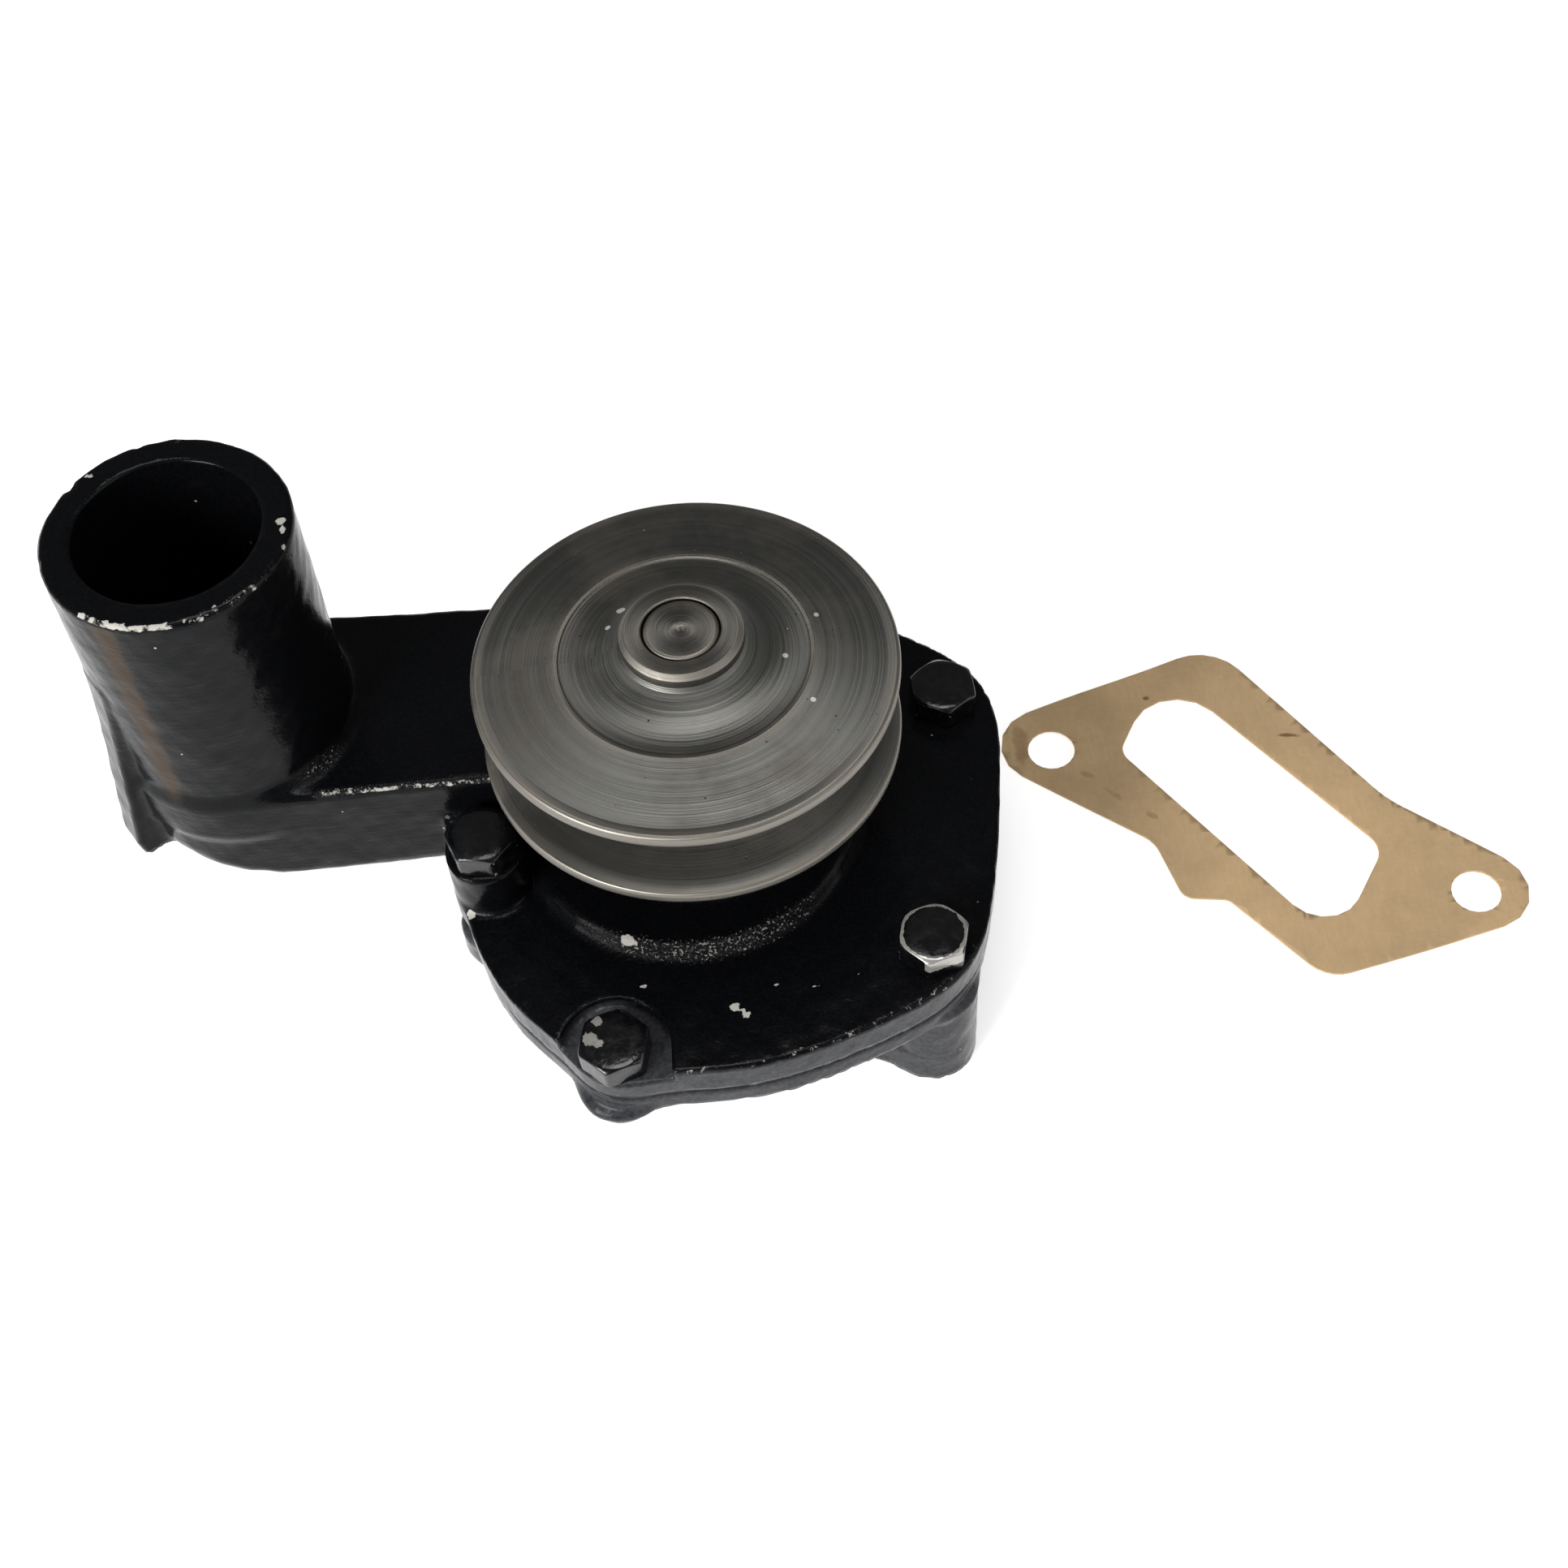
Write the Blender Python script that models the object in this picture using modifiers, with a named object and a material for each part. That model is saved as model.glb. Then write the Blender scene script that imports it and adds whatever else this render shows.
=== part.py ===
"""Belt-driven coolant pump with an inlet elbow, and the loose paper gasket of its outlet face.

The pump lies on its engine face, which is the plane Z = 0. The shaft runs along +Z through the origin, and the
inlet arm points along -X and ends in an upright hose spigot. All lengths are in metres.
"""

import math

import bmesh
import bpy
from mathutils import Matrix, Vector

MM = 0.001
GAP = 0.3 * MM                      # air between solids that touch

# Shaft and double-row bearing: 15.92 mm shaft in a 38.1 mm sleeve
SHAFT_R = 7.96 * MM
SLEEVE_R = 19.05 * MM
BEARING_LENGTH = 36.0 * MM
BALL_R = 2.7 * MM
BALL_PITCH_R = SHAFT_R + BALL_R + 0.34 * MM
BALL_COUNT = 7
CAGE_HALF_T = 1.0 * MM
ROW_INSET = 9.0 * MM
BEARING_SEAL_T = 1.4 * MM
SLINGER_R = SHAFT_R + 4.0 * MM
SLINGER_T = 2.2 * MM
SHOULDER_R = SLINGER_R + 1.0 * MM
SHOULDER_T = 3.7 * MM
SCREW_R = 3.0 * MM
SCREW_ANGLE = -60.0
NUT_FLATS = 10.0 * MM
NUT_T = 4.0 * MM

# Castings
REAR_BODY_DEPTH = 25.5 * MM         # engine face to the underside of the rear flange
REAR_FLANGE_T = 5.5 * MM
BODY_GASKET_T = 0.6 * MM
FRONT_PLATE_T = 8.8 * MM
NOSE_R = SLEEVE_R + GAP + 5.65 * MM  # bearing housing
EYE_R = NOSE_R + 9.0 * MM           # the ring of water around the nose
EYE_DEPTH = 7.3 * MM
EYE_PORT_R = EYE_R - 15.0 * MM
EYE_PORT_Y = 14.0 * MM
PAD_R = EYE_R + 6.0 * MM            # low round pad under the pulley
PAD_H = 3.0 * MM
PAD_SLOPE = 2.2 * MM
CHAMBER_R = EYE_R + 9.0 * MM
CHAMBER_FLOOR = 8.0 * MM
BOWL_R = CHAMBER_R + 6.0 * MM
BOLT_CIRCLE_R = BOWL_R + 14.0 * MM
PLATE_R = BOLT_CIRCLE_R + 3.5 * MM  # flange radius between its bolt lobes
PLATE_EDGE_ROUND = 1.0 * MM
FLAT_SIDE_ANGLE = 190.0             # the flange is drawn in on this side
FLAT_SIDE_DEPTH = 9.1 * MM
FLAT_SIDE_SPREAD = 37.0
WALL = 5.0 * MM                     # wall of the water passages
ARM_WIDTH = 51.5 * MM
ARM_HEIGHT = 29.5 * MM
ARM_DROP = 4.5 * MM                 # the arm's underside lies this far below the plate's top
ARM_Y = 20.3 * MM
ARM_ROUND = 2.0 * MM
SPIGOT_X = -102.5 * MM
SPIGOT_R = ARM_WIDTH / 2 + 0.25 * MM
SPIGOT_WALL = 6.7 * MM
SPIGOT_HEIGHT = 60.0 * MM           # above the top of the arm
SPIGOT_LIP = 1.2 * MM
ELBOW_ROUND = 11.0 * MM
RIB_T = 9.0 * MM
RIB_ANGLE = 213.0
WEEP_R = 2.0 * MM

# Cover bolts: 3/8 inch, 9/16 inch across flats
BOLT_R = 4.76 * MM
BOLT_FLATS = 14.3 * MM
BOLT_HEAD_H = 6.2 * MM
BOLT_THREAD_DEPTH = 6.0 * MM        # how far a bolt reaches into the rear casting
BOLT_BOSS_R = 9.5 * MM
POCKET_R = 12.0 * MM                # sunk seats, open to the flange's edge
POCKET_DEPTH = 3.0 * MM
ARM_BOLT_X = -(CHAMBER_R + 5.0 * MM)
ARM_BOLT_GAP = 9.05 * MM            # from the arm's near side to the bolt beside it
ARM_BOLT_BOSS_R = 8.6 * MM
ARM_BOLT_BOSS_H = 13.0 * MM         # this boss stands against the arm's side
FAR_BOLT_GAP = 10.05 * MM           # from the arm's far side to the bolt beyond it

# Engine face: two studs and a slanted outlet
STUD_SPACING = 108.0 * MM
STUD_HOLE_R = 5.3 * MM
STUD_HOLE_DEPTH = 14.0 * MM
PILLAR_R = 10.0 * MM
FOOT_T = 9.0 * MM
FOOT_INSET = 4.0 * MM               # the foot stops short of the gasket's edge
OUTLET_WALL = 5.0 * MM
OUTLET_ROOF_Z = 21.0 * MM
OUTLET_GASKET_T = 0.6 * MM
GASKET_HOLE_R = 5.9 * MM
GASKET_PLACE = (133.8 * MM, 13.6 * MM)
GASKET_TURN = -28.5

# Water seal
SEAL_DEPTH = 10.3 * MM
SEAL_CASE_R = SLEEVE_R - 0.8 * MM
SEAL_CASE_T = 1.0 * MM
SEAL_BORE_R = SHAFT_R + 2.0 * MM
SPRING_R = (SEAL_BORE_R + SEAL_CASE_R) / 2 + 0.195 * MM
SPRING_WIRE_R = 0.7 * MM
SPRING_TURNS = 3
CARBON_R = SEAL_CASE_R - 2.85 * MM
CARBON_H = 3.4 * MM
SEAT_R = CARBON_R - 0.9 * MM
SEAT_H = 3.0 * MM
SEAT_PROUD = 0.6 * MM
CUP_T = 1.0 * MM

# Impeller
IMPELLER_CLEARANCE = 2.0 * MM       # around the rim
IMPELLER_FLOOR_CLEARANCE = 4.0 * MM
IMPELLER_PLATE_T = 3.0 * MM
IMPELLER_TOP_CLEARANCE = 2.7 * MM
VANE_COUNT = 6
VANE_T = 3.0 * MM
VANE_SWEEP = 55.0

# Pulley
PULLEY_R = 45.0 * MM
PULLEY_WIDTH = 23.35 * MM
PULLEY_OVERLAP = 11.35 * MM         # the rim reaches this far back over the nose
PULLEY_CAVITY_R = NOSE_R + 3.0 * MM
GROOVE_FLOOR_R = PULLEY_CAVITY_R + 4.0 * MM
GROOVE_TOP = 17.4 * MM
GROOVE_HALF_ANGLE = 18.0
RIM_ROUND = 0.9 * MM
HUB_R = SHAFT_R + 5.04 * MM
HUB_LENGTH = 20.0 * MM
HUB_CLEARANCE = 2.5 * MM
HUB_CHAMFER = 1.0 * MM
HUB_WALL_SHOWN = 4.0 * MM
STEP_R = HUB_R + 13.7 * MM
STEP_RISE = 2.8 * MM
STEP_DROP = 0.7 * MM

# Levels that follow from the sizes above
REAR_TOP_Z = REAR_BODY_DEPTH + REAR_FLANGE_T
BODY_GASKET_Z = REAR_TOP_Z + GAP
PLATE_Z = BODY_GASKET_Z + BODY_GASKET_T + GAP
PLATE_TOP_Z = PLATE_Z + FRONT_PLATE_T
PAD_TOP_Z = PLATE_TOP_Z + PAD_H
ARM_Z = PLATE_TOP_Z - ARM_DROP
ARM_TOP_Z = ARM_Z + ARM_HEIGHT
SPIGOT_TOP_Z = ARM_TOP_Z + SPIGOT_HEIGHT
SPIGOT_BORE_R = SPIGOT_R - SPIGOT_WALL
NOSE_Z = PLATE_Z + 1.0 * MM
SHOULDER_Z = NOSE_Z + SEAL_DEPTH
BEARING_Z = SHOULDER_Z + SHOULDER_T + GAP
BEARING_TOP_Z = BEARING_Z + BEARING_LENGTH
NOSE_TOP_Z = BEARING_TOP_Z + 0.5 * MM
PULLEY_Z = NOSE_TOP_Z - PULLEY_OVERLAP
PULLEY_FACE_Z = PULLEY_Z + PULLEY_WIDTH
HUB_Z = NOSE_TOP_Z + HUB_CLEARANCE
HUB_TOP_Z = HUB_Z + HUB_LENGTH
IMPELLER_Z = CHAMBER_FLOOR + IMPELLER_FLOOR_CLEARANCE
VANE_TOP_Z = PLATE_Z - IMPELLER_TOP_CLEARANCE
IMPELLER_TOP_Z = PLATE_Z - 0.9 * MM
SEAT_TOP_Z = IMPELLER_TOP_Z + SEAT_PROUD
SEAT_Z = SEAT_TOP_Z - SEAT_H
CUP_R = SEAT_R + GAP + CUP_T
IMPELLER_HUB_R = CUP_R + GAP + 1.4 * MM
CUP_Z = SEAT_Z - GAP - CUP_T
CARBON_Z = SEAT_TOP_Z + GAP
CASE_TOP_Z = SHOULDER_Z - GAP
RACE_R = BALL_PITCH_R + BALL_R + GAP
CAGE_HALF_H = BALL_R + GAP + 1.0 * MM
ROW_LEVELS = {"front": BEARING_TOP_Z - ROW_INSET, "rear": BEARING_Z + ROW_INSET}

ARM_BOLT_Y = ARM_Y - ARM_WIDTH / 2 - ARM_BOLT_GAP
ARM_BOLT_RADIUS = math.hypot(ARM_BOLT_X, ARM_BOLT_Y)
ARM_BOLT_ANGLE = math.degrees(math.atan2(ARM_BOLT_Y, ARM_BOLT_X))
FAR_BOLT_ANGLE = 180.0 - math.degrees(math.asin((ARM_Y + ARM_WIDTH / 2 + FAR_BOLT_GAP) / BOLT_CIRCLE_R))

# Flange lobes over the bolts: bolt letter, angle, radius, lobe height and spread in degrees, boss foot level
BOLTS = {
    "a": {"angle": -110.0, "radius": BOLT_CIRCLE_R, "lobe": 4.6 * MM, "spread": 9.0, "boss_z": 24.0 * MM},
    "b": {"angle": -40.0, "radius": BOLT_CIRCLE_R, "lobe": 5.2 * MM, "spread": 17.0, "boss_z": 0.0},
    "c": {"angle": 25.0, "radius": BOLT_CIRCLE_R, "lobe": 6.9 * MM, "spread": 18.0, "boss_z": 20.0 * MM},
    "d": {"angle": ARM_BOLT_ANGLE, "radius": ARM_BOLT_RADIUS, "lobe": 0.0, "spread": 10.0, "boss_z": 18.0 * MM},
    "e": {"angle": 77.5, "radius": BOLT_CIRCLE_R, "lobe": 5.0 * MM, "spread": 13.0, "boss_z": 0.0},
    "f": {"angle": FAR_BOLT_ANGLE, "radius": BOLT_CIRCLE_R, "lobe": 5.0 * MM, "spread": 12.0, "boss_z": 20.0 * MM},
}
ROUND_STEPS = 48
SMALL_STEPS = 20
INNER_STEPS = 24                    # sealed pieces inside the pump
CASTINGS = ("front_housing", "rear_housing")  # the exact solver leaves open edges on these two


# ---------------------------------------------------------------- scene and materials

def clear_scene():
    """Empties the scene and makes the two collections."""
    for obj in list(bpy.data.objects):
        bpy.data.objects.remove(obj)
    made = []
    for name in ("water_pump", "cutters"):
        collection = bpy.data.collections.new(name)
        bpy.context.scene.collection.children.link(collection)
        made.append(collection)
    made[1].hide_render = True
    return made


def make_material(name, color, roughness, metallic):
    """A Principled material."""
    material = bpy.data.materials.new(name)
    material.use_nodes = True
    shader = material.node_tree.nodes["Principled BSDF"]
    shader.inputs["Base Color"].default_value = (*color, 1.0)
    shader.inputs["Roughness"].default_value = roughness
    shader.inputs["Metallic"].default_value = metallic
    material.diffuse_color = (*color, 1.0)
    return material


PARTS, CUTTERS = clear_scene()
MATERIALS = {
    "casting_paint": make_material("casting_paint", (0.012, 0.013, 0.015), 0.28, 0.0),
    "bolt_paint": make_material("bolt_paint", (0.020, 0.020, 0.022), 0.25, 0.3),
    "turned_steel": make_material("turned_steel", (0.32, 0.30, 0.28), 0.35, 1.0),
    "shaft_steel": make_material("shaft_steel", (0.42, 0.37, 0.33), 0.28, 1.0),
    "bearing_steel": make_material("bearing_steel", (0.62, 0.62, 0.63), 0.15, 1.0),
    "cage_nylon": make_material("cage_nylon", (0.55, 0.50, 0.40), 0.50, 0.0),
    "seal_rubber": make_material("seal_rubber", (0.015, 0.015, 0.015), 0.75, 0.0),
    "seal_brass": make_material("seal_brass", (0.72, 0.55, 0.27), 0.30, 1.0),
    "seal_carbon": make_material("seal_carbon", (0.03, 0.03, 0.035), 0.45, 0.0),
    "seal_ceramic": make_material("seal_ceramic", (0.85, 0.83, 0.78), 0.30, 0.0),
    "spring_steel": make_material("spring_steel", (0.55, 0.55, 0.55), 0.25, 1.0),
    "impeller_iron": make_material("impeller_iron", (0.16, 0.15, 0.14), 0.60, 0.8),
    "gasket_paper": make_material("gasket_paper", (0.55, 0.40, 0.24), 0.85, 0.0),
}


# ---------------------------------------------------------------- building blocks

def add_object(name, data, material=None, cutter=False):
    """Links a mesh or curve as a part, or as a hidden cutter."""
    obj = bpy.data.objects.new(name, data)
    (CUTTERS if cutter else PARTS).objects.link(obj)
    if cutter:
        obj.hide_render = True
        obj.display_type = "WIRE"
    if material:
        data.materials.append(MATERIALS[material])
    return obj


def shade(obj, angle=35.0):
    """Smooth shading with crisp edges."""
    obj.data.shade_smooth()
    obj.data.set_sharp_from_angle(angle=math.radians(angle))


def baked(obj):
    """Turns an object with modifiers, or a curve, into a plain welded mesh object in the same place."""
    graph = bpy.context.evaluated_depsgraph_get()
    mesh = bpy.data.meshes.new_from_object(obj.evaluated_get(graph))
    work = bmesh.new()
    work.from_mesh(mesh)
    bmesh.ops.remove_doubles(work, verts=work.verts, dist=0.002 * MM)
    work.to_mesh(mesh)
    work.free()
    plain = bpy.data.objects.new(obj.name, mesh)
    obj.users_collection[0].objects.link(plain)
    plain.matrix_world = obj.matrix_world.copy()
    plain.hide_render = obj.hide_render
    plain.display_type = obj.display_type
    name = obj.name
    bpy.data.objects.remove(obj)
    plain.name = name
    return plain


def turned(name, profile, material=None, steps=ROUND_STEPS, cutter=False):
    """A solid turned about Z. The profile of (radius, height) runs down the outside, then up the bore or the axis."""
    closed = min(radius for radius, _ in profile) > 0.0
    mesh = bpy.data.meshes.new(name)
    count = len(profile)
    edges = [(i, (i + 1) % count) for i in range(count if closed else count - 1)]
    mesh.from_pydata([(radius, 0.0, height) for radius, height in profile], edges, [])
    obj = add_object(name, mesh, material, cutter)
    screw = obj.modifiers.new("Turn", "SCREW")
    screw.steps = steps
    screw.render_steps = steps
    screw.use_merge_vertices = True
    screw.merge_threshold = 0.01 * MM
    obj = baked(obj)
    shade(obj)
    return obj


def disc(name, radius, low, high, material=None, steps=ROUND_STEPS, cutter=False, place=(0.0, 0.0)):
    """A plain round bar between two heights."""
    profile = [(0.0, high), (radius, high), (radius, low), (0.0, low)]
    obj = turned(name, profile, material, steps, cutter)
    obj.location = (place[0], place[1], 0.0)
    return obj


def flat(name, outline, low, high, material=None, holes=(), cutter=False, edge_round=0.0):
    """A flat plate: a closed 2D outline, with closed holes, carried from one height to another."""
    curve = bpy.data.curves.new(name, "CURVE")
    curve.dimensions = "2D"
    curve.fill_mode = "BOTH"
    curve.extrude = (high - low) / 2
    for loop in (outline, *holes):
        spline = curve.splines.new("POLY")
        spline.points.add(len(loop) - 1)
        spline.use_cyclic_u = True
        for point, (x, y) in zip(spline.points, loop):
            point.co = (x, y, 0.0, 1.0)
    obj = add_object(name, curve, None, cutter)
    obj.location.z = (low + high) / 2
    bpy.context.view_layer.update()
    obj = baked(obj)
    if material:
        obj.data.materials.append(MATERIALS[material])
    if edge_round:
        bevel = obj.modifiers.new("Edge", "BEVEL")
        bevel.width = edge_round
        bevel.segments = 1
        bevel.limit_method = "ANGLE"
        bevel.angle_limit = math.radians(60.0)
    shade(obj)
    return obj


def combine(target, others, operation):
    """Adds one Boolean for each other solid."""
    for other in others:
        step = target.modifiers.new(other.name, "BOOLEAN")
        step.operation = operation
        step.object = other
        if target.name in CASTINGS:
            step.solver = "MANIFOLD"
    return target


def join(target, *others):
    return combine(target, others, "UNION")


def cut(target, *others):
    return combine(target, others, "DIFFERENCE")


def polar(radius, degrees):
    return (radius * math.cos(math.radians(degrees)), radius * math.sin(math.radians(degrees)))


def bolt_place(letter):
    return polar(BOLTS[letter]["radius"], BOLTS[letter]["angle"])


def rounded(corners, steps=5):
    """A closed outline from (x, y, radius) corners, each one rounded by an arc that touches both its sides."""
    points = []
    for index, (x, y, radius) in enumerate(corners):
        here = Vector((x, y))
        before = Vector(corners[index - 1][:2]) - here
        after = Vector(corners[(index + 1) % len(corners)][:2]) - here
        half = before.angle(after) / 2
        reach = radius / math.tan(half)
        start = here + before.normalized() * reach
        end = here + after.normalized() * reach
        centre = here + (before.normalized() + after.normalized()).normalized() * (radius / math.sin(half))
        first = math.atan2(start.y - centre.y, start.x - centre.x)
        sweep = (math.atan2(end.y - centre.y, end.x - centre.x) - first + math.pi) % (2 * math.pi) - math.pi
        for step in range(steps + 1):
            angle = first + sweep * step / steps
            points.append((centre.x + radius * math.cos(angle), centre.y + radius * math.sin(angle)))
    return points


def grown(outline, distance):
    """An anticlockwise outline moved outwards by a distance, point by point along its normals."""
    moved = []
    for index, (x, y) in enumerate(outline):
        before = Vector(outline[index - 1])
        after = Vector(outline[(index + 1) % len(outline)])
        along = (after - before).normalized()
        moved.append((x + along.y * distance, y - along.x * distance))
    return moved


def placed(outline, place, degrees):
    """An outline turned about its own origin and then moved."""
    turn = Matrix.Rotation(math.radians(degrees), 2)
    return [tuple(turn @ Vector(point) + Vector(place)) for point in outline]


# ---------------------------------------------------------------- outlines

def flange_outline(inset=0.0, count=72):
    """Radius by angle: a circle drawn in on the arm's side, plus one smooth bump for each bolt lobe."""

    def bump(angle, centre, spread):
        offset = (angle - centre + 180.0) % 360.0 - 180.0
        return math.exp(-((offset / spread) ** 2))

    points = []
    for index in range(count):
        angle = 360.0 * index / count
        radius = PLATE_R - inset - FLAT_SIDE_DEPTH * bump(angle, FLAT_SIDE_ANGLE, FLAT_SIDE_SPREAD)
        for bolt in BOLTS.values():
            radius += bolt["lobe"] * bump(angle, bolt["angle"], bolt["spread"])
        points.append(polar(radius, angle))
    return points


def arm_outline(width, start_x, end_x, y, steps=12):
    """A straight channel with a half-round end under the spigot and another behind the shaft."""
    radius = width / 2
    turns = [math.pi * (step / steps - 0.5) for step in range(steps + 1)]
    shaft_end = [(end_x + radius * math.cos(turn), y + radius * math.sin(turn)) for turn in turns]
    spigot_end = [(start_x - radius * math.cos(turn), y - radius * math.sin(turn)) for turn in turns]
    return shaft_end + spigot_end


def drawn_in(corners, distance):
    """Anticlockwise rounded corners moved inwards: outer rounds shrink by the distance and inner ones grow."""
    moved = []
    for index, (x, y, radius) in enumerate(corners):
        here = Vector((x, y))
        before = (here - Vector(corners[index - 1][:2])).normalized()
        after = (Vector(corners[(index + 1) % len(corners)][:2]) - here).normalized()
        first = Vector((-before.y, before.x))
        second = Vector((-after.y, after.x))
        place = here + (first + second) * distance / (1.0 + first.dot(second))
        outer = before.cross(after) > 0.0
        moved.append((place.x, place.y, max(radius - distance, 1.0 * MM) if outer else radius + distance))
    return moved


def outlet_outline(inset=0.0):
    """The gasket's outer edge, with its two stud holes on X at plus and minus half their spacing."""
    ear = STUD_SPACING / 2 + 24.0 * MM
    corners = [
        (-ear, -6.8 * MM, 11.0 * MM),
        (-21.0 * MM, -16.2 * MM, 9.0 * MM),
        (-9.0 * MM, -28.8 * MM, 4.0 * MM),
        (1.0 * MM, -25.3 * MM, 3.0 * MM),
        (29.2 * MM, -37.1 * MM, 9.0 * MM),
        (ear + 1.0 * MM, 8.0 * MM, 11.0 * MM),
        (27.0 * MM, 17.7 * MM, 30.0 * MM),
        (-28.0 * MM, 47.2 * MM, 13.0 * MM),
    ]
    return rounded(drawn_in(corners, inset))


def outlet_slot():
    """The slanted water slot, in the same frame as the gasket's outer edge."""
    corners = [
        (-38.0 * MM, 5.8 * MM, 5.0 * MM),
        (28.0 * MM, -27.0 * MM, 9.5 * MM),
        (30.3 * MM, 3.8 * MM, 6.0 * MM),
        (-38.0 * MM, 35.4 * MM, 12.0 * MM),
    ]
    return rounded(corners)


def stud_line():
    """The middle and the angle of the line through the two studs, which stand under bolts b and e."""
    first = Vector(bolt_place("b"))
    second = Vector(bolt_place("e"))
    along = (second - first).normalized()
    middle = first + along * STUD_SPACING / 2
    return middle, math.degrees(math.atan2(along.y, along.x))


def stud_places():
    middle, degrees = stud_line()
    along = Vector(polar(STUD_SPACING / 2, degrees))
    return [middle - along, middle + along]


# ---------------------------------------------------------------- castings

def make_front_housing():
    """Cover plate, bearing nose, inlet arm and hose spigot in one casting."""
    body = flat("front_housing", flange_outline(), PLATE_Z, PLATE_TOP_Z, "casting_paint", edge_round=PLATE_EDGE_ROUND)
    pad = turned("pad", [
        (0.0, PAD_TOP_Z), (PAD_R - PAD_SLOPE, PAD_TOP_Z), (PAD_R, PLATE_TOP_Z + 0.4 * MM),
        (PAD_R, PLATE_TOP_Z - 2.0 * MM), (0.0, PLATE_TOP_Z - 2.0 * MM)], cutter=True)
    arm = flat("arm", arm_outline(ARM_WIDTH, SPIGOT_X, 0.0, ARM_Y), ARM_Z, ARM_TOP_Z, cutter=True, edge_round=ARM_ROUND)
    spigot = turned("spigot", [
        (0.0, SPIGOT_TOP_Z), (SPIGOT_R - SPIGOT_LIP, SPIGOT_TOP_Z), (SPIGOT_R, SPIGOT_TOP_Z - SPIGOT_LIP),
        (SPIGOT_R, ARM_TOP_Z - WALL), (0.0, ARM_TOP_Z - WALL)], cutter=True)
    spigot.location = (SPIGOT_X, ARM_Y, 0.0)
    rib = flat("rib", rib_outline(), -RIB_T / 2, RIB_T / 2, cutter=True, edge_round=1.1 * MM)
    rib.matrix_world = (Matrix.Translation((SPIGOT_X, ARM_Y, 0.0))
                        @ Matrix.Rotation(math.radians(RIB_ANGLE), 4, "Z")
                        @ Matrix.Rotation(math.radians(90.0), 4, "X"))
    boss_outline = placed(arm_outline(2 * ARM_BOLT_BOSS_R, 0.0, ARM_BOLT_GAP, 0.0), bolt_place("d"), 90.0)
    arm_boss = flat("arm_boss", boss_outline, PLATE_TOP_Z - 2.0 * MM, PLATE_TOP_Z + ARM_BOLT_BOSS_H, cutter=True)
    relief = elbow_relief("elbow_relief", SPIGOT_X - ARM_WIDTH / 2, ARM_Z, ELBOW_ROUND)
    cut(arm, relief)
    join(body, pad, arm, spigot, rib, arm_boss)
    cut(body, *front_passages())
    nose = disc("nose", NOSE_R, NOSE_Z, NOSE_TOP_Z, cutter=True)
    join(body, nose)
    cut(body, *front_bores())
    shade(body)
    return body


def elbow_relief(name, side_x, low, rounding, steps=6):
    """The cutter that rounds an elbow's outer corner: a block across the arm with a quarter circle taken out."""
    turns = [math.pi / 2 * step / steps for step in range(steps + 1)]
    arc = [(side_x + rounding * (1 - math.cos(turn)), low + rounding * (1 - math.sin(turn))) for turn in turns]
    spare = 5.0 * MM
    outline = [*arc, (side_x + rounding, low - spare), (side_x - spare, low - spare), (side_x - spare, low + rounding)]
    cutter = flat(name, outline, -ARM_WIDTH, ARM_WIDTH, cutter=True)
    cutter.matrix_world = Matrix.Translation((0.0, ARM_Y, 0.0)) @ Matrix.Rotation(math.radians(90.0), 4, "X")
    return cutter


def rib_outline():
    """The rib's side view: distance from the spigot's axis, and height."""
    inside = SPIGOT_BORE_R + 3.1 * MM
    return [
        (inside, ARM_Z + 5.5 * MM), (SPIGOT_R + 5.0 * MM, ARM_Z + 5.5 * MM), (SPIGOT_R + 6.5 * MM, ARM_Z + 9.5 * MM),
        (SPIGOT_R + 3.0 * MM, ARM_Z + 33.5 * MM), (SPIGOT_R + 1.5 * MM, ARM_Z + 57.5 * MM),
        (inside, ARM_Z + 59.5 * MM)]


def front_passages():
    """The spigot's bore, the arm's passage, and the round eye that feeds the impeller."""
    floor = ARM_Z + WALL
    bore = disc("spigot_bore", SPIGOT_BORE_R, ARM_TOP_Z - 2 * WALL, SPIGOT_TOP_Z + 1.0 * MM, cutter=True)
    bore.location = (SPIGOT_X, ARM_Y, 0.0)
    inner_width = ARM_WIDTH - 2 * WALL
    inner = arm_outline(inner_width, SPIGOT_X, 0.0, ARM_Y)
    passage = flat("arm_passage", inner, floor, ARM_TOP_Z - WALL, cutter=True)
    cut(passage, elbow_relief("passage_relief", SPIGOT_X - inner_width / 2, floor, ELBOW_ROUND - WALL))
    eye = disc("eye", EYE_R, PLATE_Z - 1.0 * MM, PLATE_Z + EYE_DEPTH, cutter=True)
    port = disc("eye_port", EYE_PORT_R, PLATE_Z + EYE_DEPTH - 1.0 * MM, floor + 3.0 * MM, cutter=True)
    port.location.y = EYE_PORT_Y
    return bore, passage, eye, port


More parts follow.
